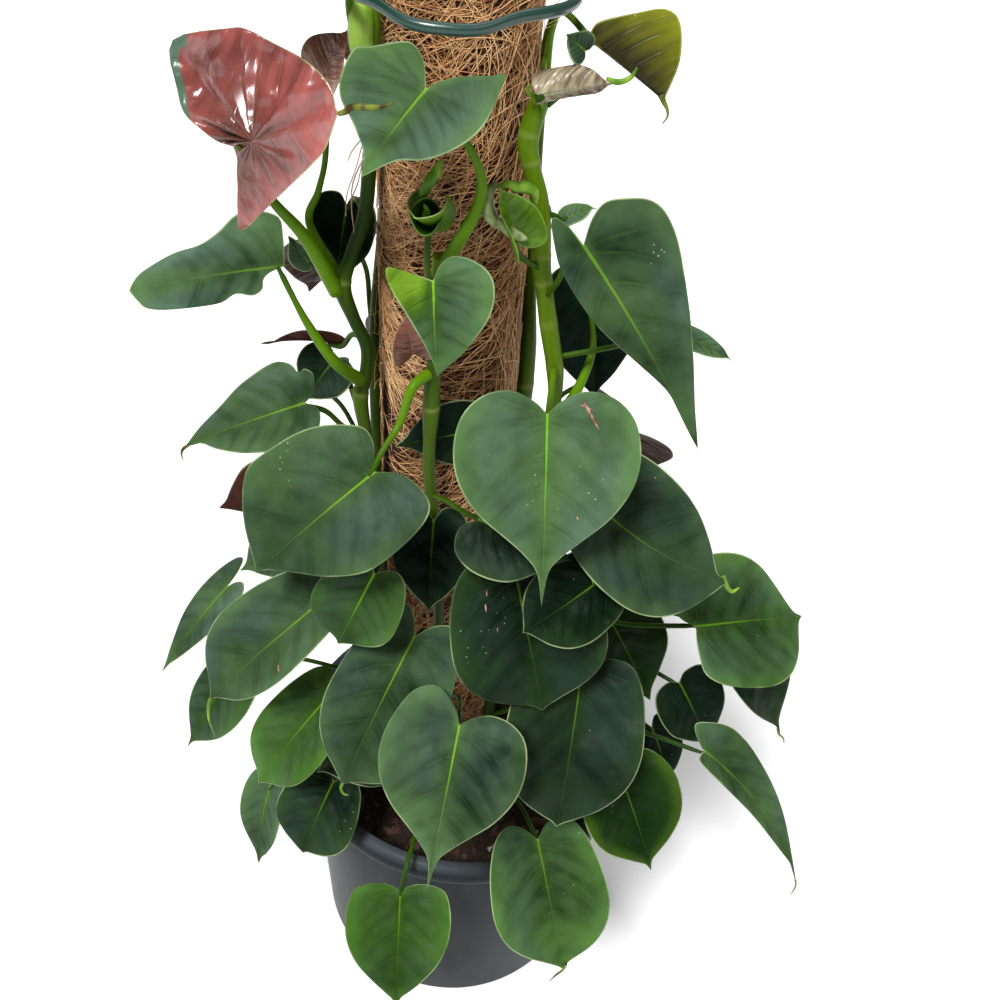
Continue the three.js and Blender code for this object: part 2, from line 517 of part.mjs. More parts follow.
// The leaves of the three front vines, from the top down
const frontLeaves = {
  leaf_red_young: {
    vine: "vine_left", node: 558, footRadius: 4, via: [[-95, -50, 590], [-108, -60, 612]], look: redLeaf,
    base: [-121, -62, 634], tip: [-71, -90, 661], width: 100, face: [150, -15], shape: ["redUpper", "redLower"],
    fold: [4, 8], cup: [14, 24], droop: 12,
  },
  leaf_brown_bud: {
    vine: "vine_left", node: 564, footRadius: 2.6, via: [[-101, -14, 582], [-96, -14, 599], [-92, -14, 618]],
    base: [-92, -14, 652], tip: [-80, -18, 674], width: 28, face: [-30, 20], shape: "plain", cup: [30, 30],
    look: redLeaf,
  },
  leaf_top_front: {
    vine: "vine_centre", node: 586, footRadius: 3.4,
    via: [[-19, -60, 610], [-15, -62, 624], [-17, -64, 637], [-28, -70, 655]],
    base: [-40, -76, 668], tip: [-63, -88, 636], width: 60, face: [-8, 30], shape: ["topLeft", "topRight"],
  },
  leaf_olive_top: {
    vine: "vine_back_right", node: 652, footRadius: 3.2, via: [[8, 16, 674], [13, 3, 686]],
    base: [25, -30, 683], tip: [60, -34, 663], width: 56, face: [175, 0], shape: ["oliveOuter", "plainLong"],
    halves: [1, 0.4], fold: [4, 70], cup: [12, 50], droop: 10,
  },
  leaf_rolled_top: {
    vine: "vine_right", node: 658, look: redLeaf,
    base: [6, -44, 662], tip: [37, -46, 671], width: 26, face: [180, 20], shape: "plain",
    lobes: [0.4, 0.4], fold: [0, 0], cup: [120, 120], droop: 10,
  },
  leaf_bud_centre: {
    vine: "vine_centre", node: 574, look: youngLeaf,
    base: [-37, -58, 604], tip: [-42, -74, 616], width: 44, face: [0, 80], shape: "plain",
    fold: [0, 0], cup: [150, 150], droop: 4,
  },
  leaf_curled_green: {
    vine: "vine_right", node: 580, look: youngLeaf,
    base: [3, -52, 599], tip: [-8, -56, 626], width: 32, face: [40, 20], shape: "plain",
    fold: [20, 20], cup: [70, 60], droop: 10,
  },
  leaf_far_left: {
    vine: "vine_left", node: 506, footRadius: 3.8, via: [[-83, -50, 526], [-96, -52, 548]],
    base: [-109, -42, 571], tip: [-179, -58, 558], width: 62, face: [-15, 35], shape: ["farUpper", "farLower"],
    fold: [6, -30], cup: [10, -30],
  },
  leaf_pole_front: {
    vine: "vine_centre", node: 560, look: youngLeaf,
    base: [-33, -74, 586], tip: [-28, -90, 547], width: 56, face: [0, 20], shape: ["frontLeft", "frontRight"],
    halves: [0.86, 1], fold: [24, 4], cup: [30, 12],
  },
  leaf_young_centre: {
    vine: "vine_centre", node: 548, look: redLeaf,
    base: [-43, -55, 538], tip: [-47, -58, 560], width: 26, face: [10, 20], shape: "plain", cup: [60, 60],
  },
  leaf_behind_left: {
    vine: "vine_left", node: 596,
    base: [-84, -4, 588], tip: [-88, -12, 550], width: 36, face: [-10, 10], shape: "plain",
  },
  leaf_red_edge: {
    vine: "vine_left", node: 530, look: redLeaf,
    base: [-92, -10, 513], tip: [-127, -24, 516], width: 30, face: [180, 52], shape: "plain", cup: [20, 20],
  },
  leaf_shaded_left: {
    vine: "vine_left", node: 480,
    base: [-92, -6, 500], tip: [-107, -16, 478], width: 34, face: [-10, 30], shape: "plain",
  },
  leaf_left_low: {
    vine: "vine_left", node: 470,
    base: [-98, -58, 504], tip: [-158, -70, 478], width: 54, face: [-5, 42], shape: ["lowUpper", "lowLower"],
    cup: [16, 16],
  },
  leaf_big_left: {
    vine: "vine_centre", node: 527, footRadius: 3, via: [[-42, -64, 523], [-47, -68, 505], [-54, -80, 495]],
    base: [-58, -86, 485], tip: [-116, -104, 426], width: 82, face: [-6, 40], shape: ["bigUpper", "bigLower"],
  },
  leaf_brown_left: {
    vine: "vine_left", node: 420, look: redLeaf,
    base: [-112, -34, 428], tip: [-154, -40, 414], width: 46, face: [170, 10], shape: "plain",
  },
  leaf_left_top: {
    vine: "vine_left", node: 366,
    base: [-108, -4, 374], tip: [-154, -14, 342], width: 46, face: [-10, 40], shape: "plain",
  },
  leaf_left_a: {
    vine: "vine_left", node: 330, via: [[-98, -46, 342], [-134, -48, 350]],
    base: [-153, -46, 357], tip: [-193, -66, 298], width: 44, face: [-20, 40], shape: "long",
    halves: [0.55, 0.6], lobes: [1.2, 0.6],
  },
  leaf_left_b: {
    vine: "vine_left", node: 390,
    base: [-90, -86, 388], tip: [-148, -108, 328], width: 64, face: [-15, 38], shape: "round",
    halves: [0.98, 0.64],
  },
  leaf_round_left: {
    vine: "vine_left", node: 405,
    base: [-56, -92, 422], tip: [-74, -102, 378], width: 50, face: [0, 35], shape: "round",
  },
  leaf_left_c: {
    vine: "vine_left", node: 270,
    base: [-154, -44, 281], tip: [-184, -68, 227], width: 52, face: [-30, 40], halves: [0.7, 1.1],
  },
  leaf_left_d: {
    vine: "vine_left", node: 286,
    base: [-84, -84, 312], tip: [-126, -104, 246], width: 50, face: [-20, 35], shape: "round",
  },
  leaf_front_left: {
    vine: "vine_centre", node: 340,
    base: [-34, -88, 372], tip: [-69, -126, 283], width: 84, face: [-8, 40], shape: "round", halves: [0.74, 0.9],
  },
  leaf_front_under: {
    vine: "vine_centre", node: 262,
    base: [-46, -74, 275], tip: [-92, -92, 246], width: 58, face: [-10, 40], shape: "plain",
  },
  leaf_low_left: {
    vine: "vine_left", node: 212,
    base: [-82, -90, 234], tip: [-99, -112, 185], width: 56, face: [-15, 35], shape: "round",
  },
  leaf_rim_left: {
    vine: "vine_left", node: 200, via: [[-90, -48, 214], [-120, -56, 208]],
    base: [-134, -58, 176], tip: [-141, -78, 112], width: 42, face: [-40, 30], shape: "plain",
  },
  leaf_front_mid: {
    vine: "vine_centre", node: 290,
    base: [-3, -130, 350], tip: [-12, -178, 266], width: 82, face: [0, 40], shape: "drip", lobes: [1.6, 0.8],
  },
  leaf_pole_dark: {
    vine: "vine_right", node: 470,
    base: [-6, -44, 490], tip: [-52, -44, 474], width: 40, face: [0, 0], shape: "plain",
    fold: [0, 0], cup: [0, 0], droop: 2,
  },
  leaf_dark_stem: {
    vine: "vine_centre", node: 426,
    base: [-28, -60, 436], tip: [-27, -76, 382], width: 44, face: [0, 35], shape: "plain",
  },
  leaf_centre_dark: {
    vine: "vine_centre", node: 408,
    base: [20, -84, 423], tip: [43, -108, 346], width: 86, face: [0, 38], shape: "round", lobes: [1, 0.2],
  },
  leaf_centre_slant: {
    vine: "vine_centre", node: 450,
    base: [-2, -86, 462], tip: [47, -92, 446], width: 54, face: [0, 45], shape: "plain",
  },
  leaf_centre_small: {
    vine: "vine_right", node: 430,
    base: [66, -86, 431], tip: [26, -106, 404], width: 48, face: [10, 38], shape: "round", lobes: [0.5, 0.5],
  },
  leaf_big_centre: {
    vine: "vine_right", node: 524, footRadius: 2.4, via: [[27, -50, 530], [26, -70, 530]],
    base: [25, -86, 528], tip: [33, -118, 436], width: 90, face: [0, 32], shape: "drip",
  },
  leaf_big_right: {
    vine: "vine_right", node: 566,
    base: [34, -58, 602], tip: [103, -70, 508], width: 78, face: [20, 30], shape: ["rightInner", "rightOuter"],
    fold: [-40, 4], cup: [-30, 8],
  },
  leaf_far_right_tip: {
    vine: "vine_right", node: 530, via: [[58, -24, 536], [80, -10, 538]],
    base: [92, 2, 533], tip: [127, 0, 521], width: 16, face: [10, 60], shape: "plain",
  },
  leaf_dark_right: {
    vine: "vine_right", node: 492, footRadius: 3.6, via: [[42, -26, 508], [48, -14, 530]],
    base: [41, 4, 556], tip: [54, -8, 492], width: 52, face: [10, 30], shape: "plain",
  },
  leaf_right_tall: {
    vine: "vine_right", node: 440,
    base: [57, -70, 468], tip: [134, -82, 433], width: 78, face: [15, 38], shape: ["round", "heart"],
    halves: [0.9, 0.95], bow: -6,
  },
  leaf_right_a: {
    vine: "vine_right", node: 350,
    base: [130, -60, 377], tip: [204, -22, 358], width: 84, face: [10, 50], shape: ["round", "heart"],
    halves: [0.96, 1], lobes: [0.2, 1],
  },
  leaf_right_b: {
    vine: "vine_right", node: 300,
    base: [166, -14, 330], tip: [217, -26, 250], width: 62, face: [30, 40], lobes: [0.3, 0.3], halves: [0.7, 1],
  },
  leaf_right_c: {
    vine: "vine_right", node: 270,
    base: [137, -34, 299], tip: [164, -46, 254], width: 50, face: [20, 35], shape: "plain", lobes: [0.6, 0.6],
  },
  leaf_right_d: {
    vine: "vine_right", node: 326,
    base: [83, -36, 352], tip: [116, -52, 300], width: 58, face: [20, 35], shape: "plain",
  },
  leaf_black_right: {
    vine: "vine_right", node: 250,
    base: [130, -24, 240], tip: [149, -36, 197], width: 36, face: [20, 35], shape: "plain",
  },
  leaf_front_right: {
    vine: "vine_right", node: 320,
    base: [64, -84, 359], tip: [60, -134, 273], width: 82, face: [5, 40], shape: "round", lobes: [0.4, 0.4],
  },
  leaf_low_right: {
    vine: "vine_right", node: 240,
    base: [100, -94, 274], tip: [128, -118, 213], width: 66, face: [15, 35],
  },
  leaf_right_hanging: {
    vine: "vine_right", node: 225,
    base: [154, -74, 281], tip: [236, -96, 178], width: 50, face: [50, 30], shape: ["lowLower", "rightOuter"],
    halves: [0.56, 0.96], lobes: [0.2, 1.3], bow: 6,
  },
  leaf_over_rim_right: {
    vine: "vine_right", node: 190,
    base: [53, -118, 232], tip: [77, -165, 169], width: 74, face: [5, 35], shape: "round",
  },
  leaf_over_rim_left: {
    vine: "vine_centre", node: 182, via: [[-24, -90, 200], [-28, -122, 205]],
    base: [-31, -136, 190], tip: [-26, -184, 134], width: 68, face: [0, 35], lobes: [0.4, 0.4],
  },
};

// Leaves fused with their vine: small ones at the front, and those of the sides, back and top
const vineLeaves = [
  { vine: "vine_right", node: 604, base: [24, -22, 600], tip: [39, -20, 607], width: 14, face: [0, 70] },
  { vine: "vine_right", node: 655, base: [23, -36, 680], tip: [14, -42, 687], width: 14, face: [0, 20] },
  { vine: "vine_left", node: 548, base: [-100, -18, 562], tip: [-110, -22, 578], width: 16, face: [-20, 20] },
  { vine: "vine_left", node: 708, base: [-98, 0, 738], tip: [-152, 8, 712], width: 62, face: [-80, 40] },
  {
    vine: "vine_left", node: 664, footRadius: 4, via: [[-76, -28, 684], [-79, -27, 706]],
    base: [-100, -34, 728], tip: [-128, -64, 708], width: 44, face: [-50, 45],
  },
  { vine: "vine_back_left", node: 240, base: [-118, 66, 262], tip: [-160, 100, 192], width: 74, face: [-135, 40] },
  { vine: "vine_back_left", node: 330, base: [-108, 60, 370], tip: [-166, 88, 316], width: 76, face: [-125, 40] },
  { vine: "vine_back_left", node: 420, base: [-112, 46, 452], tip: [-160, 70, 398], width: 66, face: [-120, 40] },
  { vine: "vine_back_left", node: 500, base: [-96, 76, 536], tip: [-132, 118, 476], width: 70, face: [-140, 38] },
  { vine: "vine_back_left", node: 610, base: [-78, 76, 652], tip: [-92, 106, 616], width: 40, face: [-150, 38] },
  { vine: "vine_back", node: 250, base: [-36, 104, 288], tip: [-48, 158, 212], width: 82, face: [180, 38] },
  { vine: "vine_back", node: 340, base: [12, 104, 382], tip: [26, 154, 314], width: 78, face: [170, 38] },
  { vine: "vine_back", node: 430, base: [-50, 100, 468], tip: [-66, 150, 400], width: 80, face: [-172, 38] },
  { vine: "vine_back", node: 510, base: [-14, 98, 556], tip: [-8, 146, 490], width: 70, face: [178, 36] },
  { vine: "vine_back", node: 600, base: [-36, 94, 656], tip: [-44, 138, 596], width: 60, face: [-176, 36] },
  { vine: "vine_back_right", node: 230, base: [84, 62, 262], tip: [124, 98, 196], width: 74, face: [135, 40] },
  { vine: "vine_back_right", node: 300, base: [106, 40, 350], tip: [154, 60, 290], width: 70, face: [115, 40] },
  { vine: "vine_back_right", node: 380, base: [74, 68, 428], tip: [108, 110, 362], width: 76, face: [140, 38] },
  { vine: "vine_back_right", node: 440, base: [52, 50, 470], tip: [78, 78, 410], width: 60, face: [120, 40] },
];

const vineLooks = {
  vine_left: stemGreen,
  vine_centre: stemGreen,
  vine_right: stemGreen,
  vine_back_left: darkStem,
  vine_back_right: darkStem,
  vine_back: darkStem,
};

// Soil: fills the pot up to below the lip, with a plain hole for the pole and for each vine
function soilGeometry() {
  const bottom = pot.wall + touchGap;
  const edge = (height) => [innerRadius(height) - touchGap, height];
  const body = turned([
    [0, bottom], edge(bottom), edge(soilTop - 2), [100, soilTop], [84, soilTop], [64, soilTop],
    [44, soilTop], [24, soilTop], [0, soilTop],
  ]);
  const position = body.attributes.position;
  for (let i = 0; i < position.count; i += 1) {
    const [x, y, z] = [position.getX(i), position.getY(i), position.getZ(i)];
    if (z > soilTop - 0.5) {
      position.setZ(i, z + soilBump * Math.sin(x / 9 + 1) * Math.cos(y / 11));
    }
  }
  const holes = [leaned(upright(pole.coreRadius + touchGap, -10, soilTop + 20, 32))];
  for (const rows of Object.values(vineRoutes)) {
    const [x, y, , radius] = rows[0];
    holes.push(upright(radius + rootGap, soilTop - rootDepth - touchGap, soilTop + 20, 12).translate(x, y, 0));
  }
  return cutBy(body, holes);
}

function leafyVine(name) {
  const leaves = vineLeaves.filter((row) => row.vine === name);
  return joined([vineGeometry(name), ...leaves.map((row) => leafGeometry({ shape: "plain", ...row }, -1.5))]);
}

const plant = new THREE.Group();
plant.add(meshOf("pot", potGeometry(), potPlastic));
plant.add(meshOf("soil", soilGeometry(), soilBrown));
plant.add(meshOf("pole_core", coreGeometry(), corePlastic));
plant.add(meshOf("coir_sleeve", coirGeometry(), coirBrown));
plant.add(meshOf("support_ring", ringGeometry(), ringPlastic));
for (const [name, look] of Object.entries(vineLooks)) {
  plant.add(meshOf(name, leafyVine(name), look));
}
for (const [name, row] of Object.entries(frontLeaves)) {
  plant.add(meshOf(name, leafGeometry(row), row.look ?? leafGreen));
}

export default plant;
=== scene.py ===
# A potted philodendron lupinum on a coir pole: its looks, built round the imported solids.
# Tables are in millimetres, meshes in metres, +Z up, and -Y is the front.
import math
import random

import bpy
import numpy as np
from mathutils import Matrix, Vector, noise


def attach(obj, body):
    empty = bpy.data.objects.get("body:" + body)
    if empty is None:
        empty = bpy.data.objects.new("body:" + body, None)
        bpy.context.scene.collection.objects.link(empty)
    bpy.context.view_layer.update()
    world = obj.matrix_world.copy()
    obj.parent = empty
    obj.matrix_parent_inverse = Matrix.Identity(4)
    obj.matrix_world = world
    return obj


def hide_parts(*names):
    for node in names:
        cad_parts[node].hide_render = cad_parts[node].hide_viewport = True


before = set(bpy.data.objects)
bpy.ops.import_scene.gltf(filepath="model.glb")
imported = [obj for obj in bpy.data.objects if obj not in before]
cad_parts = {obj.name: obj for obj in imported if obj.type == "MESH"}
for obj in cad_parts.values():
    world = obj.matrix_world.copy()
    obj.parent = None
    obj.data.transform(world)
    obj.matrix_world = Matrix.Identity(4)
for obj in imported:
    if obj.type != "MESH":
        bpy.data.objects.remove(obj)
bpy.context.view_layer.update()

# Viewpoint, floor and light
# The plant stands on a wide pale floor, lit softly from the upper left and weakly from the right and behind.
# The camera is half a metre in front of it, level with the pole's top, and looks down with its frame turned.
MM = 0.001
EYE = (3, -485, 787)
YAW, PITCH, ROLL = 0.55, 37.9, 6
SKY_STRENGTH = 0.12
FLOOR_SIZE, FLOOR_DROP = 30, 0.3

lens = bpy.data.cameras.new("viewpoint")
lens.lens = 36
lens.sensor_width = 36
camera = bpy.data.objects.new("viewpoint", lens)
bpy.context.scene.collection.objects.link(camera)
aim = Matrix.Rotation(math.radians(-YAW), 4, "Z") @ Matrix.Rotation(math.radians(90 - PITCH), 4, "X")
aim = aim @ Matrix.Rotation(math.radians(ROLL), 4, "Z")
camera.matrix_world = Matrix.Translation(Vector(EYE) * MM) @ aim
bpy.context.scene.camera = camera
bpy.context.scene.view_settings.view_transform = "Standard"


def sun(name, round_front, up, strength, spread):
    """A sun that shines from an angle round from the front and an angle up, all in degrees."""
    data = bpy.data.lights.new(name, "SUN")
    data.energy = strength
    data.angle = math.radians(spread)
    lamp = bpy.data.objects.new(name, data)
    side, rise = math.radians(round_front), math.radians(up)
    source = Vector((math.sin(side) * math.cos(rise), -math.cos(side) * math.cos(rise), math.sin(rise)))
    lamp.rotation_euler = source.to_track_quat("Z", "Y").to_euler()
    bpy.context.scene.collection.objects.link(lamp)


sun("window_left", -28, 54, 4.2, 16)
sun("window_right", 60, 48, 0.7, 40)
sun("window_behind", 175, 60, 0.8, 40)

sky = bpy.data.worlds.new("studio")
sky.use_nodes = True
sky.node_tree.nodes["Background"].inputs["Color"].default_value = (1, 1, 1, 1)
sky.node_tree.nodes["Background"].inputs["Strength"].default_value = SKY_STRENGTH
bpy.context.scene.world = sky


class Value:
    """A socket of a material. Sums on it add Math nodes, and node() adds any other node to its material."""

    def __init__(self, tree, socket=None):
        self.tree = tree
        self.socket = socket

    def node(self, kind, inputs=None, output=0, **settings):
        made = self.tree.nodes.new(kind)
        for name, setting in settings.items():
            setattr(made, name, setting)
        for name, value in (inputs or {}).items():
            if isinstance(value, Value):
                self.tree.links.new(value.socket, made.inputs[name])
            else:
                made.inputs[name].default_value = value
        return Value(self.tree, made.outputs[output])

    def math(self, operation, *terms):
        return self.node("ShaderNodeMath", dict(enumerate(terms)), operation=operation)

    def __add__(self, other):
        return self.math("ADD", self, other)

    def __sub__(self, other):
        return self.math("SUBTRACT", self, other)

    def __rsub__(self, other):
        return self.math("SUBTRACT", other, self)

    def __mul__(self, other):
        return self.math("MULTIPLY", self, other)

    def __truediv__(self, other):
        return self.math("DIVIDE", self, other)

    def __pow__(self, other):
        return self.math("POWER", self, other)

    def __abs__(self):
        return self.math("ABSOLUTE", self)

    __radd__ = __add__
    __rmul__ = __mul__

    def above(self, low, high):
        """0 below low, 1 above high and a soft step between them; low may be the higher one."""
        inputs = {"Value": self, "From Min": low, "From Max": high}
        return self.node("ShaderNodeMapRange", inputs, interpolation_type="SMOOTHSTEP")

    def mix(self, off, on):
        """The colour off where this mask is 0 and on where it is 1."""
        inputs = {0: self, 6: (*off, 1) if isinstance(off, tuple) else off}
        inputs[7] = (*on, 1) if isinstance(on, tuple) else on
        return self.node("ShaderNodeMix", inputs, output=2, data_type="RGBA")

    def noise(self, scale, detail=3, **inputs):
        """Noise on this vector."""
        sockets = {"Vector": self, "Scale": scale, "Detail": detail}
        sockets.update({name.capitalize(): value for name, value in inputs.items()})
        return self.node("ShaderNodeTexNoise", sockets)

    def stretched(self, x, y, z):
        """This vector with each axis multiplied by a number."""
        return self.node("ShaderNodeVectorMath", {0: self, 1: (x, y, z)}, operation="MULTIPLY")

    def part(self, index):
        """This vector's x, y or z, as index is 0, 1 or 2."""
        return self.node("ShaderNodeSeparateXYZ", {0: self}, output=index)

    def attribute(self, name):
        return self.node("ShaderNodeAttribute", output=2, attribute_name=name)


def finish(name, **constants):
    """A new material with these plain values on its shader, and a Value that reads Object coordinates."""
    material = bpy.data.materials.new(name)
    material.use_nodes = True
    shader = material.node_tree.nodes["Principled BSDF"]
    for socket, value in constants.items():
        shader.inputs[socket.replace("_", " ")].default_value = value
    place = Value(material.node_tree).node("ShaderNodeTexCoord", output="Object")
    return material, place


def feed(material, **sockets):
    """Links values to the shader's sockets; bump= is a height in metres for its Normal."""
    shader = material.node_tree.nodes["Principled BSDF"]
    for socket, value in sockets.items():
        if socket == "bump":
            inputs = {"Height": value, "Distance": 1.0, "Strength": 1.0}
            value = value.node("ShaderNodeBump", inputs)
            socket = "Normal"
        material.node_tree.links.new(value.socket, shader.inputs[socket.replace("_", " ")])


bpy.ops.object.select_all(action="DESELECT")
bpy.ops.mesh.primitive_plane_add(size=FLOOR_SIZE, location=(0, 0, -FLOOR_DROP * MM))
floor = bpy.context.object
floor.name = "floor"
paper, place = finish("pale floor", Roughness=0.9, Specular_IOR_Level=0.1)
feed(paper, Base_Color=place.noise(0.6).mix((0.90, 0.90, 0.90), (0.93, 0.93, 0.93)))
floor.data.materials.append(paper)

# Pot
# A round nursery pot, moulded in one wall of dark grey plastic. Its lip is rolled outwards and down and
# carries a paler painted highlight, and its flat base has six drain holes. The outside is faintly scuffed and
# dusty.
POT_SIDES = 144
# Each row is a radius and a height on the pot's section: base, outer wall, lip, inner wall, inner base.
POT_SECTION = [
    (100, 0), (102.2, 0.8), (103, 3), (113.2, 174), (113.4, 179.4), (116.8, 179.8), (118.4, 180),
    (120.6, 180.2), (121.6, 181.4), (121.9, 184), (122, 187), (121.4, 190.4), (119.8, 193.2),
    (117.4, 194.7), (115, 195), (113.6, 194.4), (112.4, 192), (111.8, 187), (100.7, 4), (99.5, 2.6),
]
DRAIN_HOLES, DRAIN_RADIUS, DRAIN_CIRCLE, DRILL_DEPTH = 6, 5, 72, 20
# The heights in metres of the band round the lip that carries the painted highlight.
LIP_HIGHLIGHT_BAND = (0.1885, 0.1935)


def finish_piece(piece, name, slot, *nodes):
    """Names a piece, lets it ride on the part and hides the imported parts it stands for. Slot, what it is
    made of, is not used.
    """
    piece.name = name
    piece.data.name = name
    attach(piece, "root")
    if nodes:
        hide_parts(*nodes)


def apply_modifier(piece, modifier):
    bpy.context.view_layer.objects.active = piece
    bpy.ops.object.modifier_apply(modifier=modifier.name)


def smooth_by_angle(piece, degrees):
    bpy.ops.object.select_all(action="DESELECT")
    piece.select_set(True)
    bpy.context.view_layer.objects.active = piece
    bpy.ops.object.shade_smooth_by_angle(angle=math.radians(degrees))


def round_point(radius, turn, height, centre_x=0):
    """The point at an angle, in radians, on a level circle."""
    return centre_x + radius * math.cos(turn), radius * math.sin(turn), height


def raise_wall(section, sides, centre=lambda height: 0):
    """A disc at the section's first row, extruded and resized to each next one; centre gives its x."""
    radius, height = section[0]
    bpy.ops.object.select_all(action="DESELECT")
    bpy.ops.mesh.primitive_circle_add(vertices=sides, radius=radius * MM, fill_type="NGON",
                                      location=Vector((centre(height), 0, height)) * MM)
    bpy.ops.object.transform_apply(location=True)
    bpy.ops.object.mode_set(mode="EDIT")
    for next_radius, next_height in section[1:]:
        move = Vector((centre(next_height) - centre(height), 0, next_height - height)) * MM
        bpy.ops.mesh.extrude_region_move(TRANSFORM_OT_translate={"value": move})
        grow = next_radius / radius
        middle = Vector((centre(next_height), 0, next_height)) * MM
        bpy.ops.transform.resize(value=(grow, grow, 1), center_override=middle)
        radius, height = next_radius, next_height
    bpy.ops.mesh.select_all(action="SELECT")
    bpy.ops.mesh.normals_make_consistent(inside=False)
    bpy.ops.object.mode_set(mode="OBJECT")
    return bpy.context.object


pot = raise_wall(POT_SECTION, POT_SIDES)
for i in range(DRAIN_HOLES):
    spot = Vector(round_point(DRAIN_CIRCLE, 2 * math.pi * i / DRAIN_HOLES, 0)) * MM
    bpy.ops.mesh.primitive_cylinder_add(
        vertices=24, radius=DRAIN_RADIUS * MM, depth=DRILL_DEPTH * MM, location=spot)
    drill = bpy.context.object
    hole = pot.modifiers.new("drain hole", "BOOLEAN")
    hole.operation = "DIFFERENCE"
    hole.object = drill
    apply_modifier(pot, hole)
    bpy.data.objects.remove(drill)
smooth_by_angle(pot, 40)

pot_plastic, place = finish("dark grey pot plastic", Specular_IOR_Level=0.04)
cloud = place.noise(9, 4)
scuffs = place.stretched(60, 60, 4).noise(1, 3).above(0.5, 0.75)
dust = place.stretched(1, 1, 0.4).noise(30, 5).above(0.55, 0.8)
colour = cloud.mix((0.009, 0.013, 0.015), (0.019, 0.025, 0.028))
colour = (scuffs * 0.2).mix(colour, (0.040, 0.048, 0.052))
colour = (dust * 0.08).mix(colour, (0.10, 0.10, 0.095))
# A paler band round the lip, broken up by the cloud, is a painted highlight.
lip = place.part(2).above(*LIP_HIGHLIGHT_BAND)
colour = (lip * cloud.above(0.35, 0.6) * 0.35).mix(colour, (0.11, 0.125, 0.135))
feed(pot_plastic, Base_Color=colour, Roughness=0.30 + 0.16 * dust + 0.1 * cloud)
feed(pot_plastic, bump=place.noise(300, 2) * 0.00006 + place.stretched(1, 1, 0.2).noise(40, 2) * 0.0004)
pot.data.materials.append(pot_plastic)
finish_piece(pot, "nursery_pot", "pot_plastic", "pot")

# Soil
# Dark potting mix fills the pot to a finger's width below its lip. It is loose and damp, with reddish bark
# chips, fibres and a few pale grains on top.
SOIL_TOP, SOIL_BUMP, SOIL_RADIUS = 172, 1.6, 109.4
SOIL_FOOT, SOIL_FOOT_RADIUS = 2.9, 99
SOIL_RINGS, SOIL_SPOKES = 46, 120
# Half a chip's length, width and thickness, each from the least to the most.
CHIP_SIZE = [(1, 3.6), (0.8, 2), (0.4, 1)]
CHIP_COUNT, CHIP_MARGIN, CHIP_LEAN = 900, 4, 0.6
luck = random.Random(7)


def new_piece(name, points, faces, material, attributes=None, smooth=True):
    """A mesh object from points in millimetres; attributes gives a number to each point."""
    mesh = bpy.data.meshes.new(name)
    mesh.from_pydata((np.asarray(points) * MM).tolist(), [], faces)
    for key, values in (attributes or {}).items():
        layer = mesh.attributes.new(key, "FLOAT", "POINT")
        layer.data.foreach_set("value", np.asarray(values, dtype=np.float32))
    if smooth:
        mesh.polygons.foreach_set("use_smooth", [True] * len(mesh.polygons))
    mesh.materials.append(material)
    mesh.update()
    piece = bpy.data.objects.new(name, mesh)
    bpy.context.scene.collection.objects.link(piece)
    return piece


def soil_height(x, y):
    crumbs = 1.3 * noise.noise(Vector((x, y, 0)) / 5) + 0.7 * noise.noise(Vector((x, y, 9)) / 2.2)
    return SOIL_TOP + 0.6 * SOIL_BUMP * math.sin(x / 9 + 1) * math.cos(y / 11) + 0.8 * crumbs


def loop_quads(loops, sides):
    """Faces between each two of a row of closed loops with the same number of points."""
    round_once = [(j, (j + 1) % sides, (j + 1) % sides + sides, j + sides) for j in range(sides)]
    return [tuple(i * sides + k for k in quad) for i in range(loops - 1) for quad in round_once]


spokes = [2 * math.pi * j / SOIL_SPOKES for j in range(SOIL_SPOKES)]
points = [(0, 0, SOIL_TOP)]
for i in range(1, SOIL_RINGS + 1):
    for turn in spokes:
        x, y, _ = round_point(SOIL_RADIUS * i / SOIL_RINGS, turn, 0)
        points.append((x, y, soil_height(x, y)))
points += [round_point(SOIL_FOOT_RADIUS, turn, SOIL_FOOT) for turn in spokes]
faces = [(0, 1 + j, 1 + (j + 1) % SOIL_SPOKES) for j in range(SOIL_SPOKES)]
faces += [(1 + a, 1 + d, 1 + c, 1 + b) for a, b, c, d in loop_quads(SOIL_RINGS + 1, SOIL_SPOKES)]
faces.append(tuple(reversed(range(len(points) - SOIL_SPOKES, len(points)))))

loam, place = finish("dark potting mix", Specular_IOR_Level=0.2)
crumb = place.noise(260, 4)
fleck = place.noise(90, 2).above(0.62, 0.7)
colour = crumb.mix((0.004, 0.003, 0.002), (0.030, 0.018, 0.012))
feed(loam, Base_Color=(fleck * 0.6).mix(colour, (0.11, 0.055, 0.035)), Roughness=0.8 + 0.2 * crumb)
feed(loam, bump=crumb * 0.0016)
soil = new_piece("potting_soil", points, faces, loam)
finish_piece(soil, "potting_soil", "potting_soil", "soil")

CUBE = [(-1, -1, -1), (1, -1, -1), (1, 1, -1), (-1, 1, -1), (-1, -1, 1), (1, -1, 1), (1, 1, 1), (-1, 1, 1)]
CUBE_FACES = [(0, 3, 2, 1), (4, 5, 6, 7), (0, 1, 5, 4), (1, 2, 6, 5), (2, 3, 7, 6), (3, 0, 4, 7)]
points, faces, tones = [], [], []
for _ in range(CHIP_COUNT):
    reach = (SOIL_RADIUS - CHIP_MARGIN) * math.sqrt(luck.random())
    x, y, _ = round_point(reach, luck.uniform(0, 2 * math.pi), 0)
    size = [luck.uniform(*limits) for limits in CHIP_SIZE]
    tilt = Matrix.Rotation(luck.uniform(0, 6.3), 3, "Z")
    tilt = tilt @ Matrix.Rotation(luck.uniform(-CHIP_LEAN, CHIP_LEAN), 3, "X")
    first = len(points)
    tone = luck.random()
    for corner in CUBE:
        spot = Vector([a * b * luck.uniform(0.5, 1.1) for a, b in zip(corner, size)])
        points.append(tilt @ spot + Vector((x, y, soil_height(x, y) + 0.3)))
        tones.append(tone)
    faces += [tuple(first + k for k in face) for face in CUBE_FACES]

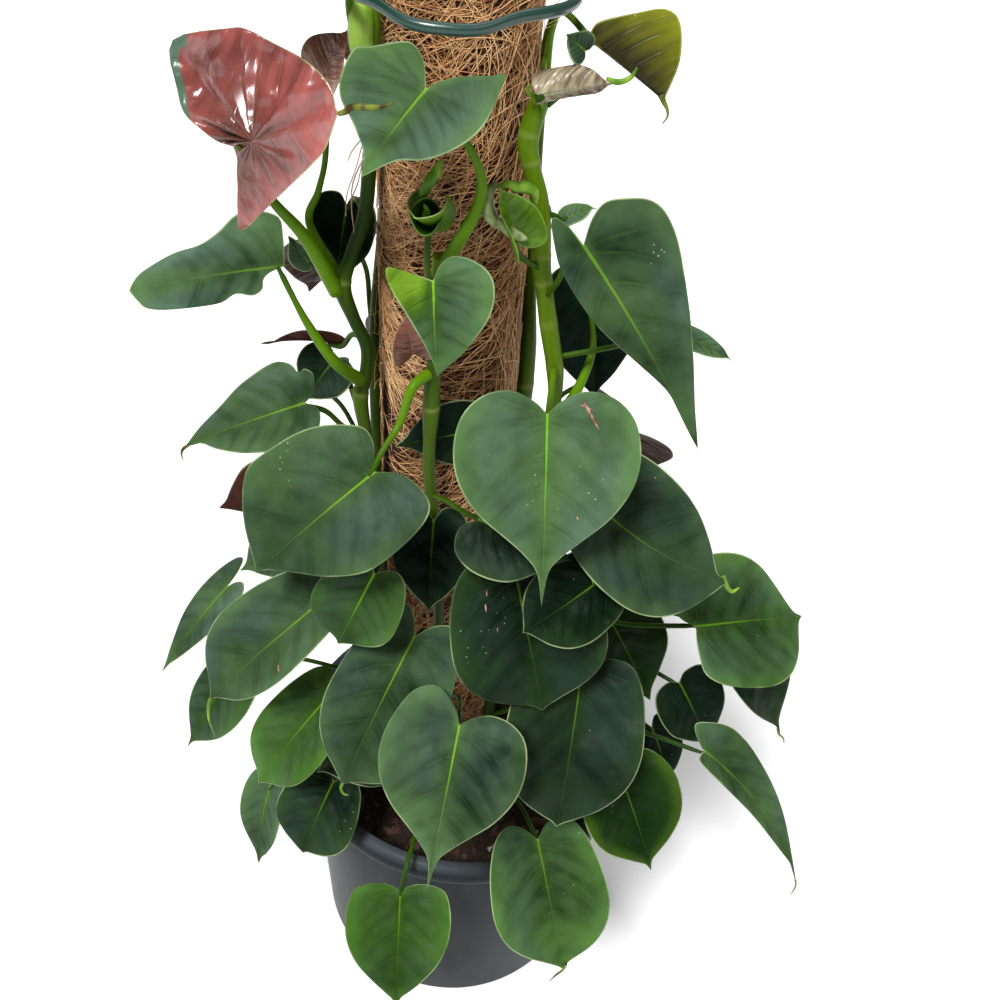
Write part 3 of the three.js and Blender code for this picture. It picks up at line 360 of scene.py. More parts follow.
bark, place = finish("bark chips", Roughness=0.75, Specular_IOR_Level=0.3)
tone = place.attribute("tone")
colour = tone.mix((0.010, 0.005, 0.003), (0.075, 0.032, 0.016))
colour = tone.above(0.95, 0.96).mix(colour, (0.42, 0.38, 0.32))
feed(bark, Base_Color=(place.noise(400, 2) * 0.5).mix(colour, (0.02, 0.012, 0.01)))
chips = new_piece("soil_chips", points, faces, bark, {"tone": tones}, smooth=False)
finish_piece(chips, "soil_chips", "potting_soil", "soil")

# Pole
# A cream plastic tube stands in the soil. A mat of brown coconut fibre is wrapped round it, with an open
# seam at the front left where the tube shows, and loose fibres stand off it. It leans a little to the left.
POLE_X, POLE_SLOPE, POT_HEIGHT = -20, -0.028, 195
CORE_RADIUS, COIR_RADIUS = 27, 38
CORE_TOP, COIR_TOP = 748, 738
SEAM_ANGLE, SEAM_WIDTH, COIR_RELIEF = 205, 7, 0.9
MAT_TURNS, MAT_ROWS = 121, 160
CLEARANCE = 0.3
# The fibres: points on each, radii, the step between two points, and how far their courses spread and curl.
FIBRE_POINTS, FIBRE_RADIUS, STRAY_RADIUS = 8, (0.12, 0.27), (0.12, 0.22)
FIBRE_STEP, FIBRE_SPREAD, FIBRE_CURL = (3.5, 8.0), 0.33, 0.11
# Loose fibres: how many, from and to which angle and height they start, and how far they stand off.
STRAYS = [(240, 206, 564, 180, 736, 5), (90, 300, 372, 676, 736, 14), (60, 210, 232, 560, 690, 12),
          (460, 190, 206, 500, 734, 1.5), (380, 190, 206, 180, 410, 1.5)]


def pole_x(height):
    return POLE_X + POLE_SLOPE * (height - POT_HEIGHT)


def pole_point(radius, turn, height):
    return round_point(radius, turn, height, pole_x(height))


core_section = [(CORE_RADIUS, SOIL_FOOT), (CORE_RADIUS, CORE_TOP - 2), (CORE_RADIUS - 0.6, CORE_TOP - 0.6),
                (CORE_RADIUS - 2, CORE_TOP)]
core = raise_wall(core_section, 64, pole_x)
smooth_by_angle(core, 40)
cream, place = finish("cream tube plastic", Roughness=0.45)
feed(cream, Base_Color=place.noise(40, 3).mix((0.72, 0.66, 0.54), (0.86, 0.81, 0.70)))
core.data.materials.append(cream)
finish_piece(core, "pole_tube", "core_plastic", "pole_core")


def coir_radius(turn, height):
    ripple = math.sin(5 * turn + height / 19) * math.cos(3 * turn - height / 31)
    return COIR_RADIUS - COIR_RELIEF * (0.5 + 0.5 * ripple)


def closed_loops(loops, sides):
    """The faces of a solid made of loops, with a face over the first one and one over the last."""
    ends = [tuple(reversed(range(sides))), tuple(range((loops - 1) * sides, loops * sides))]
    return loop_quads(loops, sides) + ends


half_seam = SEAM_WIDTH / 2 / COIR_RADIUS
seam_start = math.radians(SEAM_ANGLE) + half_seam
seam_end = seam_start + 2 * math.pi - 2 * half_seam
turns = np.linspace(seam_start, seam_end, MAT_TURNS)
points = []
for height in np.linspace(SOIL_TOP + SOIL_BUMP + CLEARANCE, COIR_TOP, MAT_ROWS):
    for turn in turns:
        radius = coir_radius(turn, height) - 0.5 - 0.4 * noise.noise(Vector((20 * turn, height / 2.5, 0)))
        points.append(pole_point(radius, turn, height))
    points += [pole_point(CORE_RADIUS + CLEARANCE, turn, height) for turn in reversed(turns)]
faces = closed_loops(MAT_ROWS, 2 * MAT_TURNS)

# The mat is coir brown darkened towards black: painted shade in the gaps between the fibres.
mat_fibre, place = finish("matted coir", Specular_IOR_Level=0.15)
streak = place.stretched(1, 1, 2.2).noise(300, 3, distortion=2.5)
colour = streak.above(0.4, 0.8).mix((0.014, 0.004, 0.002), (0.12, 0.045, 0.018))
feed(mat_fibre, Base_Color=colour, Roughness=0.8 + 0.15 * streak, bump=streak * 0.0016)
coir = new_piece("coir_mat", points, faces, mat_fibre)
finish_piece(coir, "coir_mat", "coir", "coir_sleeve")


def tube_mesh(path, radii, sides, caps=True):
    """Points and faces of a round tube along a path, all in millimetres."""
    path = np.asarray(path, dtype=float)
    along = np.gradient(path, axis=0)
    along /= np.linalg.norm(along, axis=1)[:, None]
    side = np.cross(along[0], (0.31, 0.22, 0.92))
    points = []
    for centre, way, radius in zip(path, along, np.broadcast_to(radii, len(path))):
        side = side - way * side.dot(way)
        side /= np.linalg.norm(side)
        other = np.cross(way, side)
        for j in range(sides):
            turn = 2 * math.pi * j / sides
            points.append(centre + radius * (math.cos(turn) * side + math.sin(turn) * other))
    return points, (closed_loops if caps else loop_quads)(len(path), sides)


def swirl(turn, height):
    """Fibres rise to the right at the front and more steeply at the sides, and their husk curls them."""
    sway = noise.noise(Vector((1.6 * math.cos(turn), 1.6 * math.sin(turn), height / 55)))
    return 0.65 + 0.5 * math.sin(turn - 4.6) + 1.3 * sway


def fibre_path(turn, height, lift, stand_off):
    """One fibre that lies on the mat with both ends tucked in, or stands off towards its end."""
    lean, curl = swirl(turn, height) + luck.gauss(0, FIBRE_SPREAD), luck.gauss(0, FIBRE_CURL)
    step = luck.uniform(*FIBRE_STEP)
    last = FIBRE_POINTS - 1
    path = []
    for k in range(FIBRE_POINTS):
        radius = coir_radius(turn, height) + lift - 0.5 * (k in (0, last)) + stand_off * (k / last) ** 2
        path.append(pole_point(radius, turn, height))
        lean += curl
        turn += step * math.cos(lean) / COIR_RADIUS
        height += step * math.sin(lean)
        lift += luck.uniform(-0.15, 0.15)
        if height > COIR_TOP or height < SOIL_TOP + 3 or not (stand_off or seam_start < turn < seam_end):
            break
    return path


def fibre_piece(name, paths, limits, material):
    points, faces, tones = [], [], []
    for path in paths:
        if len(path) > 2:
            radius = luck.uniform(*limits)
            more, more_faces = tube_mesh(path, [radius] * (len(path) - 1) + [0.1], 3, caps=False)
            faces += [tuple(len(points) + k for k in face) for face in more_faces]
            points += more
            tones += [luck.random()] * len(more)
    finish_piece(new_piece(name, points, faces, material, {"tone": tones}), name, "coir", "coir_sleeve")


def coir_finish(name, dark, light, painted_light):
    material, place = finish(name, Roughness=0.6, Specular_IOR_Level=0.25)
    colour = place.attribute("tone").mix(dark, light)
    # Random paler patches on the fibres are painted light.
    patch = place.noise(16, 2).above(0.4, 0.65)
    feed(material, Base_Color=(patch * 0.5 * place.attribute("tone")).mix(colour, painted_light))
    return material


# The deep fibres are the same coir as the outer ones, painted darker as shade beneath them.
deep = coir_finish("deep coir fibres", (0.09, 0.030, 0.010), (0.44, 0.195, 0.074), (0.60, 0.31, 0.12))
pale = coir_finish("outer coir fibres", (0.32, 0.125, 0.040), (0.92, 0.57, 0.27), (0.96, 0.72, 0.42))
for name, material, count, low, high in (
        ("coir_fibres_deep", deep, 4800, -0.7, 0.1), ("coir_fibres_outer", pale, 4900, 0, 0.8)):
    paths = [fibre_path(luck.uniform(seam_start, seam_end), luck.uniform(SOIL_TOP + 4, COIR_TOP - 1),
                        luck.uniform(low, high), 0) for _ in range(count)]
    fibre_piece(name, paths, FIBRE_RADIUS, material)
paths = []
for count, start, stop, low, high, reach in STRAYS:
    for _ in range(count):
        turn = math.radians(luck.uniform(start, stop))
        paths.append(fibre_path(turn, luck.uniform(low, high), 0.3, luck.uniform(0.3, 1) * reach))
fibre_piece("coir_fibres_loose", paths, STRAY_RADIUS, pale)

# Support ring
# A hoop of dark green coated wire tube near the pole's top holds the stems. It bears on the back of the mat
# and dips at the front.
RING_RADIUS, RING_TUBE, RING_HEIGHT = 52, 5, 695
RING_DIP, RING_DIP_WIDTH = 7, 24
RING_AHEAD = RING_RADIUS - RING_TUBE / 2 - COIR_RADIUS - CLEARANCE
bpy.ops.object.select_all(action="DESELECT")
bpy.ops.mesh.primitive_torus_add(
    major_segments=160, minor_segments=20, major_radius=RING_RADIUS * MM, minor_radius=RING_TUBE / 2 * MM)
hoop = bpy.context.object
shift = Vector((pole_x(RING_HEIGHT), -RING_AHEAD, RING_HEIGHT)) * MM
for vertex in hoop.data.vertices:
    if vertex.co.y < 0:
        dip = RING_DIP * MM * math.exp(-((vertex.co.x / MM / RING_DIP_WIDTH) ** 4))
        vertex.co += Vector((0, -dip, -0.6 * dip))
    vertex.co += shift
smooth_by_angle(hoop, 60)
coated, place = finish("dark green coating", Specular_IOR_Level=0.5, Coat_Weight=0.2)
worn = place.noise(60, 4)
colour = worn.mix((0.006, 0.030, 0.022), (0.016, 0.060, 0.045))
feed(coated, Base_Color=colour, Roughness=0.22 + 0.2 * worn, bump=place.noise(500, 2) * 0.00004)
hoop.data.materials.append(coated)
finish_piece(hoop, "support_hoop", "ring_plastic", "support_ring")

# Vines
# Six stems climb from the soil up the pole, each with a swelling and a pale ring scar at its nodes. Young
# lengths are bright green, old ones dark. Each foot runs straight down into the soil.
ROOT_DEPTH = 30
VINE_STEP, VINE_SIDES = 12, 14
SCAR_HEIGHT, SCAR_RISE, SWOLLEN = 1.1, 3, 3.7
# A row is x, y, z, radius and how young the stem is there, from 0 to 1.
VINES = {
    "vine_left": [(-56, -36, 185, 3.4, 0.1), (-57, -34, 250, 3.4, 0.1), (-59, -32, 320, 3.4, 0.1),
        (-61, -31, 390, 3.4, 0.15), (-64, -31, 430, 3.4, 0.2), (-70, -31, 470, 3.4, 0.3),
        (-73, -31, 494, 4.4, 0.5), (-70, -31, 511, 3.4, 0.15), (-70, -31, 526, 3.4, 0.1),
        (-76, -33, 542, 3.4, 0.1), (-81, -35, 560, 4.4, 0.35), (-77, -32, 576, 3.4, 0.1),
        (-71, -29, 596, 3.6, 0.1), (-69, -27, 622, 3.6, 0.15), (-68, -26, 655, 3.6, 0.3),
        (-68, -26, 690, 3.8, 0.8), (-69, -24, 716, 3.4, 0.9)],
    "vine_centre": [(-16, -52, 185, 3.4, 0.2), (-19, -50, 260, 3.4, 0.2), (-22, -49, 340, 3.4, 0.2),
        (-26, -51, 410, 3.4, 0.25), (-32, -52, 458, 3.4, 0.35), (-33, -52, 484, 3.6, 0.4),
        (-33, -52, 503, 4.6, 0.45), (-33, -52, 522, 4.2, 0.3), (-32, -51, 542, 3.6, 0.2),
        (-33, -50, 565, 3.4, 0.45), (-32, -49, 588, 4, 1)],
    "vine_right": [(12, -36, 185, 3.8, 0.1), (15, -34, 270, 3.8, 0.1), (17, -32, 350, 3.8, 0.2),
        (22, -31, 430, 3.6, 0.4), (29, -30, 476, 3.4, 0.4), (31, -30, 498, 3.2, 0.35),
        (29, -30, 521, 4.6, 0.7), (23, -30, 546, 4.8, 0.9), (18, -30, 568, 4.4, 0.8),
        (15, -30, 582, 5, 0.9), (14, -30, 596, 4.4, 1), (11, -30, 612, 4.4, 1), (6, -30, 626, 4.4, 0.95),
        (3, -30, 639, 5, 0.9), (6, -30, 654, 4.6, 0.8), (9, -29, 662, 3.6, 0.7)],
    "vine_back_left": [(-64, 12, 185, 3.4, 0.1), (-66, 12, 270, 3.8, 0.2), (-68, 12, 350, 3.4, 0.1),
        (-70, 12, 430, 3.8, 0.3), (-72, 13, 505, 3.6, 0.2), (-70, 24, 560, 3.4, 0.4),
        (-66, 34, 610, 3.8, 0.7), (-66, 34, 660, 3, 0.9)],
    "vine_back_right": [(25, 12, 185, 3.4, 0.1), (21, 12, 270, 3.8, 0.2), (18, 12, 350, 3.4, 0.1),
        (16, 12, 430, 3.6, 0.3), (15, 12, 484, 5.2, 0.5), (14, 12, 514, 5, 0.4), (11, 12, 560, 3, 0.5),
        (8.5, 12, 620, 2.4, 0.7), (7.5, 12, 648, 2.2, 0.8), (6, 12, 664, 2, 0.9)],
    "vine_back": [(-18, 50, 185, 3.4, 0.1), (-22, 48, 270, 3.8, 0.2), (-26, 47, 350, 3.4, 0.1),
        (-25, 47, 430, 3.8, 0.3), (-29, 47, 510, 3.4, 0.2), (-30, 47, 570, 3.8, 0.6),
        (-31, 47, 625, 3.2, 0.9)],
}


def through(rows, step_count):
    """A smooth line through the rows, with step_count steps between each two of them."""
    rows = np.asarray(rows, dtype=float)
    slopes = np.gradient(rows, axis=0)
    line = []
    for i in range(len(rows) - 1):
        for t in np.linspace(0, 1, step_count, endpoint=False):
            start, leave = 2 * t ** 3 - 3 * t ** 2 + 1, t ** 3 - 2 * t ** 2 + t
            end, arrive = 3 * t ** 2 - 2 * t ** 3, t ** 3 - t ** 2
            line.append(start * rows[i] + leave * slopes[i] + end * rows[i + 1] + arrive * slopes[i + 1])
    return np.array(line + [rows[-1]])


stem_green, place = finish("smooth stem", Specular_IOR_Level=0.12)
young = place.attribute("young")
scar = place.attribute("scar")
streak = place.stretched(1, 1, 0.12).noise(420, 3)
colour = young.mix((0.002, 0.013, 0.001), (0.130, 0.235, 0.0005))
colour = (streak * 0.4).mix(colour, (0.010, 0.045, 0.001))
colour = (scar * 0.45).mix(colour, (0.26, 0.30, 0.08))
feed(stem_green, Base_Color=colour, Roughness=0.30 + 0.15 * streak + 0.3 * scar, bump=streak * 0.0002)

vine_lines = {}
for name, rows in VINES.items():
    x, y, _, radius, youth = rows[0]
    knots = np.array([(x, y, SOIL_TOP - ROOT_DEPTH, radius, youth), *rows], dtype=float)
    line = through(knots[:, :3], VINE_STEP)
    place_along = np.linspace(0, len(knots) - 1, len(line))
    radii, young_there = (np.interp(place_along, range(len(knots)), knots[:, k]) for k in (3, 4))
    vine_lines[name] = (line, radii)
    scars = np.zeros(len(line))
    for i in range(1, len(knots) - 1):
        if knots[i, 3] > max(knots[i - 1, 3], knots[i + 1, 3]) or knots[i, 3] > SWOLLEN and i % 2:
            scars = np.maximum(scars, np.exp(-((line[:, 2] - knots[i, 2] - SCAR_RISE) / SCAR_HEIGHT) ** 2))
    points, faces = tube_mesh(line, radii + 0.3 * scars - 0.05, VINE_SIDES)
    spread = {"young": np.repeat(young_there, VINE_SIDES), "scar": np.repeat(scars, VINE_SIDES)}
    piece = new_piece(name + "_stem", points, faces, stem_green, spread)
    finish_piece(piece, name + "_stem", "dark_stem" if "back" in name else "stem_green", name)

# Leaves
# Each is a thin velvety heart on a stalk that leaves its vine in a swollen sheath. The midrib is folded in,
# the side veins sink a little between soft quilts, the margin is pale, and the tip is drawn out.
STALK_RADIUS = 1.5
# Half of a blade's margin, from the sinus round the back lobe to the tip: how far along the blade, as a share
# of its length, and how far out, as a share of its half width.
HALF_SHAPES = {
    "heart": [(-0.02, 0), (-0.12, 0.14), (-0.18, 0.4), (-0.14, 0.68), (0, 0.9), (0.18, 1), (0.38, 0.96),
        (0.56, 0.78), (0.71, 0.5), (0.83, 0.22), (0.9, 0.07), (1, 0)],
    "round": [(-0.02, 0), (-0.12, 0.2), (-0.16, 0.46), (-0.08, 0.72), (0.1, 0.9), (0.3, 0.99), (0.5, 1),
        (0.68, 0.86), (0.82, 0.58), (0.91, 0.27), (0.96, 0.09), (1, 0)],
    "long": [(-0.02, 0), (-0.14, 0.14), (-0.22, 0.4), (-0.19, 0.7), (-0.06, 0.93), (0.1, 1), (0.28, 0.95),
        (0.46, 0.8), (0.63, 0.56), (0.78, 0.3), (0.88, 0.1), (1, 0)],
    "drip": [(-0.02, 0), (-0.08, 0.14), (-0.13, 0.4), (-0.1, 0.7), (0, 0.92), (0.15, 1), (0.31, 0.94),
        (0.47, 0.72), (0.6, 0.42), (0.7, 0.2), (0.8, 0.06), (1, 0)],
    "plain": [(-0.02, 0), (-0.16, 0.3), (-0.1, 0.76), (0.14, 1), (0.46, 0.92), (0.72, 0.5), (0.88, 0.14),
        (1, 0)],
    "plainLong": [(-0.02, 0), (-0.1, 0.5), (0, 0.9), (0.2, 1), (0.4, 0.9), (0.6, 0.6), (0.8, 0.3), (1, 0)],
    "redUpper": [(-0.02, 0), (-0.16, 0.08), (-0.28, 0.2), (-0.42, 0.38), (-0.47, 0.6), (-0.5, 1.05),
        (0.02, 0.98), (0.2, 0.9), (0.42, 0.72), (0.72, 0.48), (0.93, 0.24), (1, 0)],
    "redLower": [(-0.02, 0), (-0.02, 0.1), (-0.06, 0.2), (-0.1, 0.32), (-0.19, 0.52), (-0.24, 0.7),
        (0.06, 0.56), (0.22, 0.48), (0.38, 0.4), (0.6, 0.3), (0.8, 0.2), (1, 0)],
    "topLeft": [(-0.04, 0), (-0.22, 0.26), (-0.27, 0.5), (-0.21, 0.64), (0.02, 0.88), (0.14, 1.02),
        (0.4, 0.94), (0.55, 0.78), (0.64, 0.5), (0.77, 0.18), (0.88, 0.06), (1, 0)],
    "topRight": [(-0.04, 0), (-0.17, 0.06), (-0.35, 0.25), (-0.54, 0.56), (-0.62, 0.68), (-0.45, 0.8),
        (-0.16, 0.94), (0.06, 0.94), (0.28, 0.82), (0.48, 0.6), (0.66, 0.28), (1, 0)],
    "oliveOuter": [(-0.02, 0), (-0.05, 0.16), (-0.01, 0.32), (0.24, 0.7), (0.45, 0.98), (0.65, 0.96),
        (0.88, 0.56), (1, 0)],
    "farUpper": [(-0.02, 0), (-0.03, 0.2), (-0.04, 0.46), (-0.03, 0.74), (0.1, 0.87), (0.23, 0.84),
        (0.36, 0.62), (0.49, 0.48), (0.67, 0.42), (0.88, 0.24), (0.96, 0.1), (1, 0)],
    "farLower": [(-0.02, 0), (0.08, 0.08), (0.13, 0.18), (0.15, 0.34), (0.22, 0.42), (0.33, 0.35),
        (0.44, 0.46), (0.61, 0.47), (0.82, 0.42), (0.94, 0.32), (0.98, 0.16), (1, 0)],
    "lowUpper": [(-0.02, 0), (-0.1, 0.14), (-0.13, 0.3), (-0.14, 0.5), (-0.09, 0.62), (-0.04, 0.58),
        (0, 0.78), (0.12, 0.9), (0.38, 0.72), (0.6, 0.45), (0.82, 0.22), (1, 0)],
    "lowLower": [(-0.02, 0), (-0.08, 0.12), (-0.1, 0.3), (-0.05, 0.58), (0.08, 0.75), (0.27, 0.76),
        (0.48, 0.62), (0.62, 0.46), (0.74, 0.28), (0.84, 0.08), (0.92, 0.03), (1, 0)],
    "bigUpper": [(-0.02, 0), (-0.09, 0.19), (-0.13, 0.38), (-0.11, 0.56), (0.04, 0.82), (0.18, 0.95),
        (0.34, 1.01), (0.54, 1.03), (0.7, 0.8), (0.84, 0.48), (0.94, 0.18), (1, 0)],
    "bigLower": [(-0.02, 0), (-0.13, 0.22), (-0.17, 0.48), (-0.16, 0.76), (-0.06, 0.91), (0.14, 0.97),
        (0.36, 0.93), (0.58, 0.66), (0.72, 0.4), (0.86, 0.14), (0.93, 0.04), (1, 0)],
    "rightInner": [(-0.02, 0), (-0.12, 0.03), (-0.17, 0.14), (-0.05, 0.35), (0.02, 0.42), (0.15, 0.45),
        (0.31, 0.4), (0.5, 0.21), (0.66, 0.05), (0.78, 0.03), (0.88, 0.02), (1, 0)],
    "frontLeft": [(-0.02, 0), (-0.06, 0.3), (-0.1, 0.7), (-0.1, 0.96), (-0.04, 1), (0.1, 0.88),
        (0.27, 0.64), (0.45, 0.42), (0.63, 0.22), (0.8, 0.08), (0.9, 0.03), (1, 0)],
    "frontRight": [(-0.02, 0), (-0.16, 0.1), (-0.26, 0.28), (-0.24, 0.55), (-0.12, 0.85), (0.02, 0.99),
        (0.2, 1), (0.38, 0.9), (0.54, 0.72), (0.72, 0.48), (0.87, 0.22), (1, 0)],
    "rightOuter": [(-0.02, 0), (-0.08, 0.26), (-0.1, 0.5), (-0.06, 0.74), (-0.01, 0.93), (0.06, 1.01),
        (0.17, 0.97), (0.3, 0.84), (0.45, 0.66), (0.62, 0.43), (0.8, 0.19), (1, 0)],
}


def leaf_at(vine, node, base, tip, width, face=(0, 40), **given):
    """A leaf's vine and its height there, its base, tip and width, which way it faces (degrees round from
    the front, degrees up) and what else it has of its own.

    Via are points of its stalk, and foot is the stalk's radius at the vine. Its left and right half have a
    shape, a width factor, a length of the back lobe, a fold at the midrib and a cup. Droop bends the midrib,
    and bow bends it sideways. Tone is how light the leaf is, partly its own green and partly painted shade
    for leaves that sit in shadow, fresh how far it goes from blue-grey velvet with a painted sheen (0) to
    clear green (1) and lime (2), rib how bright its midrib is, and folds how deep its wrinkles are.
    """
    plain = dict(
        shape="heart", halves=(1, 1), lobes=(1, 1), fold=(6, 6), cup=(10, 10), droop=24, bow=0, via=(),
        foot=STALK_RADIUS, look="grown", tone=0.5, fresh=0.2, rib=0.3, folds=0)
    own = dict(vine="vine_" + vine, node=node, base=base, tip=tip, width=width, face=face)
    return {**plain, **own, **given}
